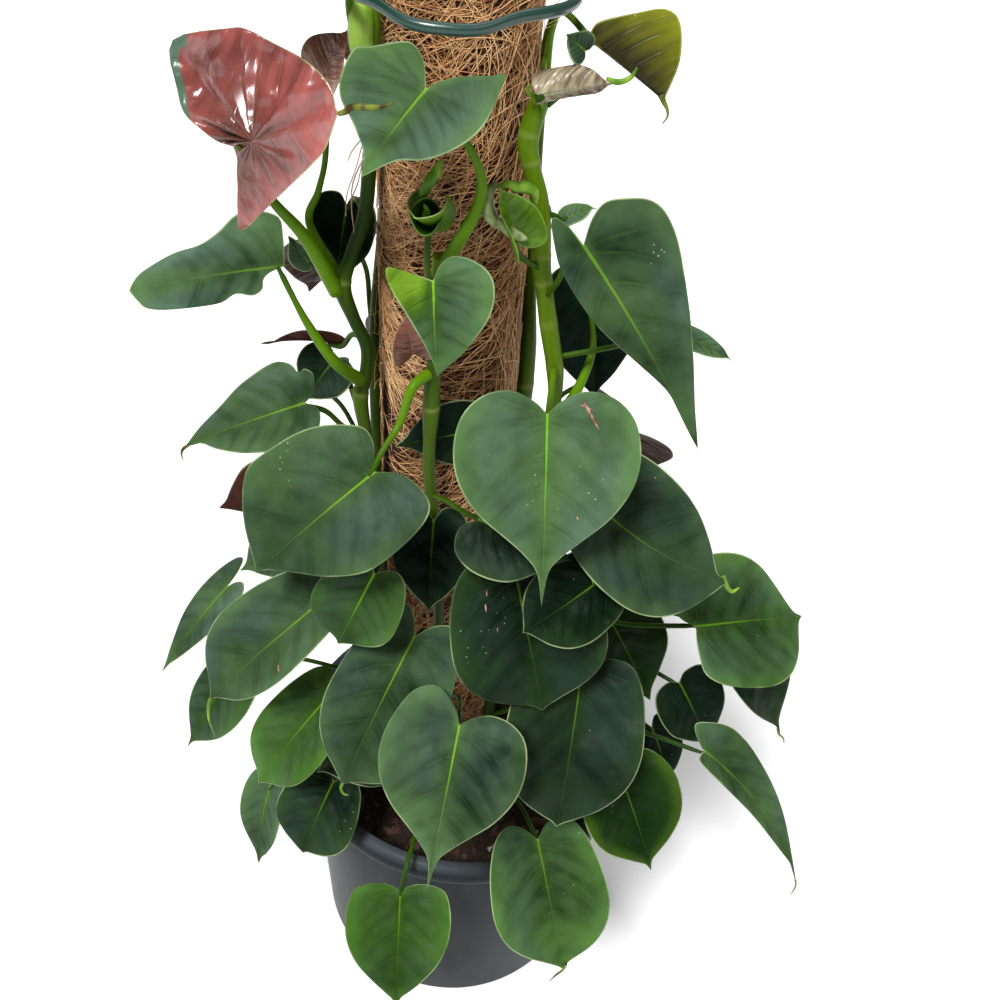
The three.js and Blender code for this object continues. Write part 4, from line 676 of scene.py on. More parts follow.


# Leaves that sit in shadow among the others have a low tone: their darkness is painted shade.
LEAVES = {
    "leaf_red_young": leaf_at("left", 558, (-121, -62, 634), (-71, -90, 661), 100, (150, -15), foot=4,
        via=[(-95, -50, 590), (-108, -60, 612)], look="red", shape=("redUpper", "redLower"), fold=(4, 8),
        cup=(14, 24), droop=12, folds=2.2),
    "leaf_brown_bud": leaf_at("left", 564, (-92, -14, 652), (-80, -18, 674), 28, (-30, 20), foot=2.6,
        via=[(-101, -14, 582), (-96, -14, 599), (-92, -14, 618)], shape="plain", cup=(30, 30),
        look="brown"),
    "leaf_top_front": leaf_at("centre", 586, (-40, -76, 668), (-63, -88, 636), 60, (-8, 30), foot=3.4,
        via=[(-19, -60, 610), (-15, -62, 624), (-17, -64, 637), (-28, -70, 655)],
        shape=("topLeft", "topRight"), tone=0.65, fresh=0.3, rib=0.6),
    "leaf_olive_top": leaf_at("back_right", 652, (25, -30, 683), (60, -34, 663), 56, (175, 0), foot=3.2,
        via=[(8, 16, 674), (13, 3, 686)], shape=("oliveOuter", "plainLong"), halves=(1, 0.4), fold=(4, 70),
        cup=(12, 50), droop=10, look="olive"),
    "leaf_rolled_top": leaf_at("right", 658, (6, -44, 662), (37, -46, 671), 26, (180, 20), shape="plain",
        lobes=(0.4, 0.4), fold=(0, 0), cup=(120, 120), droop=10, look="silver"),
    "leaf_bud_centre": leaf_at("centre", 574, (-37, -58, 604), (-42, -74, 616), 44, (0, 80), look="young",
        tone=0.4, shape="plain", fold=(0, 0), cup=(150, 150), droop=4),
    "leaf_curled_green": leaf_at("right", 580, (3, -52, 599), (-8, -56, 626), 32, (40, 20), look="young",
        shape="plain", fold=(20, 20), cup=(70, 60), droop=10),
    "leaf_far_left": leaf_at("left", 506, (-109, -42, 571), (-179, -58, 558), 62, (-15, 35), foot=3.8,
        via=[(-83, -50, 526), (-96, -52, 548)], shape=("farUpper", "farLower"), fold=(6, -30),
        cup=(10, -30), tone=0.82),
    "leaf_pole_front": leaf_at("centre", 560, (-33, -74, 586), (-28, -90, 547), 56, (0, 20),
        shape=("frontLeft", "frontRight"), halves=(0.86, 1), fold=(24, 4), cup=(30, 12), look="half",
        tone=0.7, fresh=(1.9, 0.4), rib=0.9),
    "leaf_young_centre": leaf_at("centre", 548, (-43, -55, 538), (-47, -58, 560), 26, (10, 20),
        shape="plain", cup=(60, 60), look="brown", tone=0.25),
    "leaf_behind_left": leaf_at("left", 596, (-84, -4, 588), (-88, -12, 550), 36, (-10, 10), shape="plain",
        tone=0, fresh=0.5),
    "leaf_red_edge": leaf_at("left", 530, (-92, -10, 513), (-127, -24, 516), 30, (180, 52), shape="plain",
        cup=(20, 20), look="wine"),
    "leaf_shaded_left": leaf_at("left", 480, (-92, -6, 500), (-107, -16, 478), 34, (-10, 30), shape="plain",
        tone=0.12),
    "leaf_left_low": leaf_at("left", 470, (-98, -58, 504), (-158, -70, 478), 54, (-5, 42),
        shape=("lowUpper", "lowLower"), cup=(16, 16), tone=0.45, rib=0.5),
    "leaf_big_left": leaf_at("centre", 527, (-58, -86, 485), (-116, -104, 426), 82, (-6, 40), foot=3,
        via=[(-42, -64, 523), (-47, -68, 505), (-54, -80, 495)], shape=("bigUpper", "bigLower"), tone=0.38,
        rib=0.7),
    "leaf_brown_left": leaf_at("left", 420, (-112, -34, 428), (-154, -40, 414), 46, (170, 10),
        shape="plain", look="wine"),
    "leaf_left_top": leaf_at("left", 366, (-108, -4, 374), (-154, -14, 342), 46, (-10, 40), shape="plain",
        tone=0.45),
    "leaf_left_a": leaf_at("left", 330, (-153, -46, 357), (-193, -66, 298), 44, (-20, 40),
        via=[(-98, -46, 342), (-134, -48, 350)], shape="long", halves=(0.55, 0.6), lobes=(1.2, 0.6),
        tone=0.56),
    "leaf_left_b": leaf_at("left", 390, (-90, -86, 388), (-148, -108, 328), 64, (-15, 38), shape="round",
        halves=(0.98, 0.64), tone=0.46, rib=0.45),
    "leaf_round_left": leaf_at("left", 405, (-56, -92, 422), (-74, -102, 378), 50, (0, 35), shape="round",
        tone=0.38, fresh=0.6, rib=0.8),
    "leaf_left_c": leaf_at("left", 270, (-154, -44, 281), (-184, -68, 227), 52, (-30, 40),
        halves=(0.7, 1.1), fresh=0.5),
    "leaf_left_d": leaf_at("left", 286, (-84, -84, 312), (-126, -104, 246), 50, (-20, 35), shape="round",
        tone=0.7, fresh=0.8, rib=0.5),
    "leaf_front_left": leaf_at("centre", 340, (-34, -88, 372), (-69, -126, 283), 84, (-8, 40),
        shape="round", halves=(0.74, 0.9), tone=0.4, rib=0.6),
    "leaf_front_under": leaf_at("centre", 262, (-46, -74, 275), (-92, -92, 246), 58, (-10, 40),
        shape="plain", tone=0.15, fresh=0.3),
    "leaf_low_left": leaf_at("left", 212, (-82, -90, 234), (-99, -112, 185), 56, (-15, 35), shape="round",
        tone=0.14, fresh=0.4),
    "leaf_rim_left": leaf_at("left", 200, (-134, -58, 176), (-141, -78, 112), 42, (-40, 30),
        via=[(-90, -48, 214), (-120, -56, 208)], shape="plain", tone=0.42, fresh=0.3),
    "leaf_front_mid": leaf_at("centre", 290, (-3, -130, 350), (-12, -178, 266), 82, (0, 40), shape="drip",
        lobes=(1.6, 0.8), tone=0.53, rib=0.7),
    "leaf_pole_dark": leaf_at("right", 470, (-6, -44, 490), (-52, -44, 474), 40, (0, 0), shape="plain",
        fold=(0, 0), cup=(0, 0), droop=2, tone=0.02),
    "leaf_dark_stem": leaf_at("centre", 426, (-28, -60, 436), (-27, -76, 382), 44, (0, 35), shape="plain",
        tone=0.02, fresh=0.3),
    "leaf_centre_dark": leaf_at("centre", 408, (20, -84, 423), (43, -108, 346), 86, (0, 38), shape="round",
        lobes=(1, 0.2), tone=0.11, fresh=0.4),
    "leaf_centre_slant": leaf_at("centre", 450, (-2, -86, 462), (47, -92, 446), 54, (0, 45), shape="plain",
        tone=0.15, fresh=0.1),
    "leaf_centre_small": leaf_at("right", 430, (66, -86, 431), (26, -106, 404), 48, (10, 38), shape="round",
        lobes=(0.5, 0.5), tone=0.04, fresh=0.4),
    "leaf_big_centre": leaf_at("right", 524, (25, -86, 528), (33, -118, 436), 90, (0, 32), foot=2.4,
        via=[(27, -50, 530), (26, -70, 530)], shape="drip", tone=0.6, fresh=0.3, rib=0.8),
    "leaf_big_right": leaf_at("right", 566, (34, -58, 602), (103, -70, 508), 78, (20, 30),
        shape=("rightInner", "rightOuter"), fold=(-40, 4), cup=(-30, 8), rib=0.45),
    "leaf_far_right_tip": leaf_at("right", 530, (92, 2, 533), (127, 0, 521), 16, (10, 60),
        via=[(58, -24, 536), (80, -10, 538)], shape="plain"),
    "leaf_dark_right": leaf_at("right", 492, (41, 4, 556), (54, -8, 492), 52, (10, 30), foot=3.6,
        via=[(42, -26, 508), (48, -14, 530)], shape="plain", tone=0),
    "leaf_right_tall": leaf_at("right", 440, (57, -70, 468), (134, -82, 433), 78, (15, 38),
        shape=("round", "heart"), halves=(0.9, 0.95), bow=-6, tone=0.23, fresh=0.1),
    "leaf_right_a": leaf_at("right", 350, (130, -60, 377), (204, -22, 358), 84, (10, 50),
        shape=("round", "heart"), halves=(0.96, 1), lobes=(0.2, 1), tone=0.64, fresh=0.6, rib=0.5),
    "leaf_right_b": leaf_at("right", 300, (166, -14, 330), (217, -26, 250), 62, (30, 40), lobes=(0.3, 0.3),
        halves=(0.7, 1), tone=0.18, fresh=0.1),
    "leaf_right_c": leaf_at("right", 270, (137, -34, 299), (164, -46, 254), 50, (20, 35), shape="plain",
        lobes=(0.6, 0.6), tone=0, fresh=0.3),
    "leaf_right_d": leaf_at("right", 326, (83, -36, 352), (116, -52, 300), 58, (20, 35), shape="plain",
        tone=0.1, fresh=0.8),
    "leaf_black_right": leaf_at("right", 250, (130, -24, 240), (149, -36, 197), 36, (20, 35), shape="plain",
        tone=0),
    "leaf_front_right": leaf_at("right", 320, (64, -84, 359), (60, -134, 273), 82, (5, 40), shape="round",
        lobes=(0.4, 0.4), tone=0.08),
    "leaf_low_right": leaf_at("right", 240, (100, -94, 274), (128, -118, 213), 66, (15, 35), tone=0.12,
        fresh=1),
    "leaf_right_hanging": leaf_at("right", 225, (154, -74, 281), (236, -96, 178), 50, (50, 30),
        shape=("lowLower", "rightOuter"), halves=(0.56, 0.96), lobes=(0.2, 1.3), bow=6, tone=0.4,
        fresh=0.3),
    "leaf_over_rim_right": leaf_at("right", 190, (53, -118, 232), (77, -165, 169), 74, (5, 35),
        shape="round", tone=0.64, fresh=0.6),
    "leaf_over_rim_left": leaf_at("centre", 182, (-31, -136, 190), (-26, -184, 134), 68, (0, 35),
        via=[(-24, -90, 200), (-28, -122, 205)], lobes=(0.4, 0.4), tone=0.58, fresh=0.85),
}
# Small and hidden leaves that are one solid with their vine, all with the plain shape.
FUSED_LEAVES = [
    leaf_at("right", 604, (24, -22, 600), (39, -20, 607), 14, (0, 70)),
    leaf_at("right", 655, (23, -36, 680), (14, -42, 687), 14, (0, 20)),
    leaf_at("left", 548, (-100, -18, 562), (-110, -22, 578), 16, (-20, 20)),
    leaf_at("left", 708, (-98, 0, 737), (-152, 8, 711), 62, (-80, 40)),
    leaf_at("left", 664, (-100, -34, 728), (-128, -64, 708), 44, (-50, 45), foot=4,
        via=[(-76, -28, 684), (-79, -27, 706)]),
    leaf_at("back_left", 240, (-118, 66, 262), (-160, 100, 192), 74, (-135, 40)),
    leaf_at("back_left", 330, (-108, 60, 370), (-166, 88, 316), 76, (-125, 40)),
    leaf_at("back_left", 420, (-112, 46, 452), (-160, 70, 398), 66, (-120, 40)),
    leaf_at("back_left", 500, (-96, 76, 536), (-132, 118, 476), 70, (-140, 38)),
    leaf_at("back_left", 610, (-78, 76, 652), (-92, 106, 616), 40, (-150, 38)),
    leaf_at("back", 250, (-36, 104, 288), (-48, 158, 212), 82, (180, 38)),
    leaf_at("back", 340, (12, 104, 382), (26, 154, 314), 78, (170, 38)),
    leaf_at("back", 430, (-50, 100, 468), (-66, 150, 400), 80, (-172, 38)),
    leaf_at("back", 510, (-14, 98, 556), (-8, 146, 490), 70, (178, 36)),
    leaf_at("back", 600, (-36, 94, 656), (-44, 138, 596), 60, (-176, 36)),
    leaf_at("back_right", 230, (84, 62, 262), (124, 98, 196), 74, (135, 40)),
    leaf_at("back_right", 300, (106, 40, 350), (154, 60, 290), 70, (115, 40)),
    leaf_at("back_right", 380, (74, 68, 428), (108, 110, 362), 76, (140, 38)),
    leaf_at("back_right", 440, (52, 50, 470), (78, 78, 410), 60, (120, 40)),
]

# The rings of a blade's mesh close in on its heart, a point on the midrib. Thickness is given as its half.
HEART, MARGIN_STEPS = 0.16, 48
RINGS = (0.1, 0.22, 0.36, 0.5, 0.63, 0.75, 0.85, 0.925, 0.975, 1)
BLADE_HALF, MARGIN_HALF = 0.3, 0.1
STALK_SIDES, STALK_STEP = 10, 10
# Side veins on each half: where they leave the midrib, how far they run along it and how they curve.
SIDE_VEINS = [
    (0, -0.16, 0.8), (0, 0.1, 1.5), (0.03, 0.34, 1.6), (0.16, 0.4, 1.5), (0.33, 0.4, 1.4), (0.52, 0.36, 1.3)]


def unit(vector):
    return vector / np.linalg.norm(vector)


def both(value):
    """A value for each half, where a row may give only one."""
    return value if isinstance(value, tuple) else (value, value)


def leaf_frame(leaf):
    """The leaf's base, its three directions, the bend of its midrib and its length."""
    base, tip = np.array(leaf["base"], float), np.array(leaf["tip"], float)
    chord = np.linalg.norm(tip - base)
    along = unit(tip - base)
    round_front, up = map(math.radians, leaf["face"])
    level = math.cos(up)
    face = np.array([math.sin(round_front) * level, -math.cos(round_front) * level, math.sin(up)])
    face = unit(face - along * face.dot(along))
    bend = math.radians(leaf["droop"])
    return base, along, face, np.cross(face, along), bend, chord * bend / 2 / math.sin(bend / 2)


def flat_outline(leaf, length):
    """The blade's margin laid flat: the right half from the sinus to the tip, then the left half back."""
    pair = both(leaf["shape"])
    rows = []
    for side, sign in ((1, 1), (0, -1)):
        half = np.array(HALF_SHAPES[pair[side]])
        half[:, 0] *= np.where(half[:, 0] < 0, leaf["lobes"][side], 1) * length
        half[:, 1] *= sign * leaf["halves"][side] * leaf["width"] / 2
        line = through(half, MARGIN_STEPS // (len(half) - 1))
        rows.append(line if side else line[-2:0:-1])
    return np.vstack(rows)


def blade_middle(leaf, shape, x, y, lift):
    """The blade's middle surface at flat distances x along and y across, raised by lift."""
    base, along, face, across, bend, length = shape
    side = (y > 0).astype(int)
    fold = np.radians(np.array(leaf["fold"], float))[side]
    cup = np.radians(np.maximum(np.abs(leaf["cup"]), 0.01) * np.sign(np.array(leaf["cup"]) + 1e-9))[side]
    cup = cup / (leaf["width"] / 2)
    slope = bend / 2 - bend * x / length
    arc = length / bend
    turn = fold + cup * np.abs(y)
    u = x / length
    up = face[None] * np.cos(slope)[:, None] - along[None] * np.sin(slope)[:, None]
    sideways = np.sign(y) * (np.sin(turn) - np.sin(fold)) / cup + 4 * leaf["bow"] * u * (1 - u)
    rise = (np.cos(fold) - np.cos(turn)) / cup + lift
    middle = base + along * (arc * (math.sin(bend / 2) - np.sin(slope)))[:, None]
    middle = middle + face * (arc * (np.cos(slope) - math.cos(bend / 2)))[:, None]
    return middle + across * sideways[:, None] + up * rise[:, None]


def quilt(leaf, length, x, y, ring):
    """How far the blade puffs up between its side veins, in millimetres."""
    u, v = x / length, np.abs(y) / (leaf["width"] / 2)
    gap = np.min([np.abs(u - start - reach * v ** bend) for start, reach, bend in SIDE_VEINS], axis=0)
    puff = 1 - np.exp(-((gap / 0.05) ** 2))
    return 0.012 * length * puff * np.minimum(1, v * 4) * (1 - ring ** 5)


def stalk_line(leaf, shape):
    """The stalk's middle line, from inside its vine to just under the blade's base."""
    base, along, face = shape[:3]
    line, radii = vine_lines[leaf["vine"]]
    centre = np.array([np.interp(leaf["node"], line[:, 2], line[:, k]) for k in range(3)])
    vine_radius = np.interp(leaf["node"], line[:, 2], radii)
    toward = np.array(leaf["via"][0], float) if leaf["via"] else base
    outward = unit((toward - centre) * (1, 1, 0))
    foot = centre + outward * (vine_radius - 0.6)
    end = base + along * 2 - face * 0.2
    if leaf["via"]:
        knots = [foot, *np.array(leaf["via"], float), end]
    else:
        span = np.linalg.norm(base - foot)
        leave = foot + outward * 0.3 * span + np.array((0, 0, 0.16 * span))
        arrive = base - along * 0.22 * span - face * 0.3 * span
        knots = [(1 - t) ** 3 * foot + 3 * t * (1 - t) ** 2 * leave
                 + 3 * t * t * (1 - t) * arrive + t ** 3 * end for t in (0, 1 / 3, 2 / 3, 1)]
    return through(knots, STALK_STEP)


def leaf_mesh(leaf, name):
    """The blade and its stalk as one mesh, with its materials, its UV map and its attributes."""
    shape = leaf_frame(leaf)
    length = shape[-1]
    margin = flat_outline(leaf, length)
    count = len(margin)
    heart = np.array((HEART * length, 0))
    flat = np.vstack([heart[None]] + [heart + ring * (margin - heart) for ring in RINGS])
    ring = np.concatenate([[0], np.repeat(RINGS, count)])
    reach = np.linalg.norm(margin - heart, axis=1)
    rim = np.concatenate([[20], *[(1 - r) * reach for r in RINGS]])
    x, y = flat[:, 0], flat[:, 1]
    phase = 6.28 * (leaf["tip"][0] * 0.137 % 1)
    spin = np.concatenate([[0], np.tile(np.arange(count) * 2 * math.pi / count, len(RINGS))])
    wave = 0.7 * np.sin(5 * spin + phase) * np.sin(spin / 2) ** 2 * ring ** 3
    wrinkle = np.sin(14 * spin + 1.5 * np.sin(3 * spin)) * 4 * ring * (1 - ring)
    wave += leaf["folds"] * wrinkle * np.where(y < 0, 1, 0.3)

    def middle(dx, dy):
        return blade_middle(leaf, shape, x + dx, y + dy, quilt(leaf, length, x + dx, y + dy, ring) + wave)

    along_x = middle(0.4, 0) - middle(-0.4, 0)
    along_y = middle(0, 0.4) - middle(0, -0.4)
    normal = np.cross(along_x, along_y)
    normal /= np.linalg.norm(normal, axis=1)[:, None]
    half = np.where(ring == 1, MARGIN_HALF, BLADE_HALF)[:, None]
    front, back = middle(0, 0) + normal * half, middle(0, 0) - normal * half
    points = np.vstack([front, back])
    under = len(front)
    upper = [(0, 1 + (j + 1) % count, 1 + j) for j in range(count)]
    upper += [tuple(1 + k for k in quad) for quad in loop_quads(len(RINGS), count)]
    lower = [tuple(under + k for k in reversed(face)) for face in upper]
    outer = range(under - count, under)
    edge = [(a, b, under + b, under + a) for a, b in zip(outer, [*outer[1:], outer[0]])]
    line = stalk_line(leaf, shape)
    u = np.linspace(0, 1, len(line))
    radii = np.maximum(STALK_RADIUS, leaf["foot"] * (1 - u) ** 0.6)
    radii = radii * np.where(u > 0.95, 0.75, 1)
    stalk_points, stalk_faces = tube_mesh(line, radii, STALK_SIDES)
    stalk = [tuple(len(points) + k for k in face) for face in stalk_faces]
    points = np.vstack([points, stalk_points])
    faces = upper + lower + edge + stalk
    kinds = [0] * len(upper) + [1] * len(lower) + [0] * len(edge) + [2] * len(stalk)

    mesh = bpy.data.meshes.new(name)
    mesh.from_pydata((points * MM).tolist(), [], faces)
    mesh.polygons.foreach_set("use_smooth", [True] * len(faces))
    mesh.polygons.foreach_set("material_index", kinds)
    flat_uv = np.column_stack([x / length, y / (leaf["width"] / 2)])
    round_stalk = np.arange(STALK_SIDES) / STALK_SIDES
    sleeve_uv = np.column_stack([np.repeat(u, STALK_SIDES), np.tile(round_stalk, len(u))])
    spread = np.vstack([flat_uv, flat_uv, sleeve_uv])
    corners = np.zeros(len(mesh.loops), dtype=np.int64)
    mesh.loops.foreach_get("vertex_index", corners)
    mesh.uv_layers.new(name="leaf").data.foreach_set("uv", spread[corners].ravel())
    left, right = both(leaf["fresh"])
    lobe = np.clip(1.1 - 2.2 * x / length, 0, 1) * np.clip(np.abs(y) / (0.12 * leaf["width"]), 0, 1)
    fresh = np.where(y > 0, right, right + (left - right) * lobe)
    stalk_rows = np.full(len(stalk_points), 20.0)
    for key, values in {
        "rim": np.concatenate([rim, rim, stalk_rows]),
        "across": np.concatenate([np.abs(y), np.abs(y), stalk_rows]),
        "fresh": np.concatenate([fresh, fresh, stalk_rows]),
        "tone": np.full(len(points), leaf["tone"]),
        "rib": np.full(len(points), leaf["rib"]),
        "sheath": np.full(len(points), 1.0 if leaf["foot"] > 2 else 0.35),
    }.items():
        layer = mesh.attributes.new(key, "FLOAT", "POINT")
        layer.data.foreach_set("value", values.astype(np.float32))
    mesh.update()
    return mesh


def leaf_finish(name, dark, light, vein, edge, veining, roughness, pleating=0.4, relief=0.006, to_rim=0.15,
                spread=1.6, fresh=None, painted_sheen=None, turned=None, **constants):
    """A blade's surface: cloudy colour, partly painted light and shade, midrib, faint side veins with painted
    shade in their valleys, pale margin, specks and soft relief.
    """
    material, place = finish(name, **constants)
    uv = place.node("ShaderNodeUVMap", uv_map="leaf")
    u, v = uv.part(0), abs(uv.part(1))
    tone, rim, across = place.attribute("tone"), place.attribute("rim"), place.attribute("across")
    cloud, mottle, wave = place.noise(15, 1, distortion=0.5), place.noise(90, 4), place.noise(26, 2)
    # Pleats run with the side veins, so their noise is drawn out along the same curves.
    course = u - 0.38 * v ** 1.5
    pleat = place.node("ShaderNodeCombineXYZ", {0: course * 11, 1: v * 1.6, 2: tone * 40}).noise(1, 2)
    # A fresh green blade is calmer than a blue-grey one: its clouds, pleats and valleys are weaker.
    calm = 1 - place.attribute("fresh").above(0.25, 1.2) * 0.65
    # The clouds are partly the blade's own mottling and partly painted light and shade that stands in for its
    # quilted relief.
    clouds = (cloud - 0.5) + (mottle - 0.5) * 0.3 + (pleat - 0.5) * pleating
    shade = tone + clouds * spread * (tone + 0.15) * calm
    shade = shade + (v - 0.5) * to_rim * (tone + 0.2)
    wander = (place.noise(60, 2) - 0.5) * 0.03
    gap = None
    for start, reach, bend in SIDE_VEINS:
        near = abs(u + wander - start - v ** bend * reach)
        gap = near if gap is None else gap.math("MINIMUM", gap, near)
    # Painted shade darkens the blade in the valleys along its side veins.
    valley_shade = (1 - gap.above(0.005, 0.055)) * v.above(0.02, 0.12) * (1 - v.above(0.5, 1))
    lit_rim = (1 - rim.above(1, 12)) * place.noise(34, 2).above(0.35, 0.6)
    shade = shade + (lit_rim * 0.32 - valley_shade * calm * 0.2) * (tone + 0.12)
    colour = shade.mix(dark, light)
    if fresh:
        colour = place.attribute("fresh").mix(colour, shade.mix(*fresh))
        near_rim = (1 - rim.above(1, 10)) * 0.12
        colour = (near_rim + (place.attribute("fresh") - 1)).mix(colour, (0.16, 0.30, 0.02))
    # The blue-grey cast between the midrib and the margin is a painted sheen of the velvet, weaker on fresh
    # blades.
    if painted_sheen:
        sheen_patch = v.above(0.04, 0.3) * (1 - v.above(0.6, 1)) * place.noise(24, 2).above(0.35, 0.65)
        colour = (sheen_patch * (0.8 - place.attribute("fresh") * 0.7)).mix(colour, shade.mix(*painted_sheen))

    side = (1 - gap.above(0.001, 0.012)) * v.above(0.01, 0.06) * (1 - v.above(0.3, 0.9))
    side = side * place.noise(40, 2).above(0.3, 0.65)
    midrib = (1 - (across / (1.15 - u)).above(0.4, 0.95)) * (1 - u.above(0.08, 0.65) * 0.8)
    colour = (side * veining * (tone * 0.3 + 0.05)).mix(colour, vein)
    colour = (midrib * place.attribute("rib")).mix(colour, vein)
    margin = (1 - rim.above(0.3, 0.95)) * (0.15 + 0.85 * place.noise(30, 2).above(0.4, 0.6))
    colour = (margin * 0.7).mix(colour, edge)
    specks = place.node("ShaderNodeTexVoronoi", {"Vector": place, "Scale": 260})
    spotted = (1 - specks.above(0.08, 0.14)) * place.noise(34, 2).above(0.62, 0.7)
    colour = (spotted * 0.5).mix(colour, (0.45, 0.5, 0.4))
    if turned:
        # Round the stalk the blade is darkest. The back lobe's far edge is turned over and shows green.
        far = (u - 0.02) * (u - 0.02) * 2 + v * v * 0.7
        colour = ((1 - far.above(0.0, 0.36)) * 0.6).mix(colour, (0.10, 0.035, 0.022))
        colour = ((1 - u.above(-0.40, -0.34)) * (1 - rim.above(6, 7))).mix(colour, turned)
    feed(material, Base_Color=colour, Roughness=roughness + 0.2 * (mottle - 0.5) + 0.1 * spotted)
    ridge = wave * relief + pleat * (0.3 + 0.5 * pleating) * 0.0020 + mottle * 0.0003
    ridge = ridge + place.noise(900, 2) * 0.00003
    feed(material, bump=ridge - midrib * 0.0004 - side * 0.0003)
    return material


LIME, PALE = (0.17, 0.38, 0.015), (0.36, 0.46, 0.22)
grown_top = leaf_finish(
    "velvety grown leaf", (0.002, 0.008, 0.003), (0.086, 0.154, 0.068), LIME, PALE,
    veining=0.3, roughness=0.5, pleating=0.1, relief=0.020, to_rim=0.3, spread=2.2,
    fresh=((0.001, 0.010, 0.001), (0.058, 0.155, 0.010)), painted_sheen=((0.003, 0.010, 0.008), (0.074, 0.124, 0.104)),
    Specular_IOR_Level=0.05)
young_top = leaf_finish(
    "young green leaf", (0.004, 0.035, 0.001), (0.14, 0.29, 0.012), (0.38, 0.55, 0.06), (0.42, 0.52, 0.18),
    veining=0.7, roughness=0.36, pleating=0.6, relief=0.012, Specular_IOR_Level=0.2)
wine_under = leaf_finish(
    "wine leaf underside", (0.012, 0.002, 0.002), (0.085, 0.022, 0.014), (0.16, 0.12, 0.03), PALE,
    veining=0.4, roughness=0.42, Specular_IOR_Level=0.1)
olive_under = leaf_finish(
    "olive leaf underside", (0.018, 0.015, 0.002), (0.19, 0.20, 0.008), (0.22, 0.20, 0.05),
    (0.35, 0.38, 0.10), veining=0.3, roughness=0.36, pleating=0.3, relief=0.012, to_rim=1.2,
    Specular_IOR_Level=0.2)
silver_leaf = leaf_finish(
    "silvery rolled leaf", (0.05, 0.018, 0.006), (0.56, 0.50, 0.32), (0.20, 0.26, 0.06), (0.30, 0.18, 0.08),
    veining=0.4, roughness=0.30, pleating=0.8, relief=0.020, to_rim=-0.5, spread=2.6, Specular_IOR_Level=0.4)
red_under = leaf_finish(
    "glossy red underside", (0.020, 0.003, 0.003), (0.39, 0.097, 0.082), (0.42, 0.20, 0.08),
    (0.42, 0.45, 0.18), veining=0.6, roughness=0.24, pleating=0.4, relief=0.030, to_rim=0.2, spread=2.6,
    turned=(0.07, 0.13, 0.08), Specular_IOR_Level=0.5, Coat_Weight=0.5, Coat_Roughness=0.18)
brown_top = leaf_finish(
    "red-brown young leaf", (0.040, 0.006, 0.004), (0.48, 0.20, 0.13), (0.25, 0.16, 0.06), (0.30, 0.24, 0.10),
    veining=0.4, roughness=0.28, pleating=0.6, relief=0.016, Specular_IOR_Level=0.4)

stalk_green, place = finish("leaf stalk", Specular_IOR_Level=0.12)
reach = place.node("ShaderNodeUVMap", uv_map="leaf").part(0)
bright = place.attribute("sheath") * (1 - reach.above(0.35, 1) * 0.7)
streak = place.noise(300, 3)
colour = bright.mix((0.003, 0.016, 0.001), (0.10, 0.22, 0.001))
feed(stalk_green, Base_Color=(streak * 0.3).mix(colour, (0.012, 0.06, 0.001)), Roughness=0.32 + 0.15 * streak)

LOOKS = {
    "grown": (grown_top, wine_under, "leaf_green"),
    "half": (grown_top, young_top, "young_leaf"),
    "young": (young_top, young_top, "young_leaf"),
    "red": (young_top, red_under, "red_leaf"),
    "brown": (brown_top, brown_top, "red_leaf"),
    "silver": (silver_leaf, silver_leaf, "red_leaf"),
    "olive": (grown_top, olive_under, "leaf_green"),
    "wine": (grown_top, wine_under, "red_leaf"),
}


def leaf_piece(name, leaf, node):
    top, below, slot = LOOKS[leaf["look"]]
    piece = bpy.data.objects.new(name, leaf_mesh(leaf, name))
    bpy.context.scene.collection.objects.link(piece)
    for material in (top, below, stalk_green):
        piece.data.materials.append(material)
    finish_piece(piece, name, slot, node)


for name, leaf in LEAVES.items():
    leaf_piece(name + "_blade", leaf, name)
for i, leaf in enumerate(FUSED_LEAVES):
    leaf_piece("vine_leaf_%d" % (i + 1), {**leaf, "shape": "plain"}, leaf["vine"])

# Young growth
# Small soft parts that are thin or still unrolling: the leaves' curled drip tips, a tendril, the rolled leaf
# at the middle, a rolled leaf edge, the sheath at the left stem's top, the back stems' growing tips, and pale
# aerial roots.
STRAND_STEP, STRAND_SIDES, STRAND_LEAST = 6, 10, 0.15
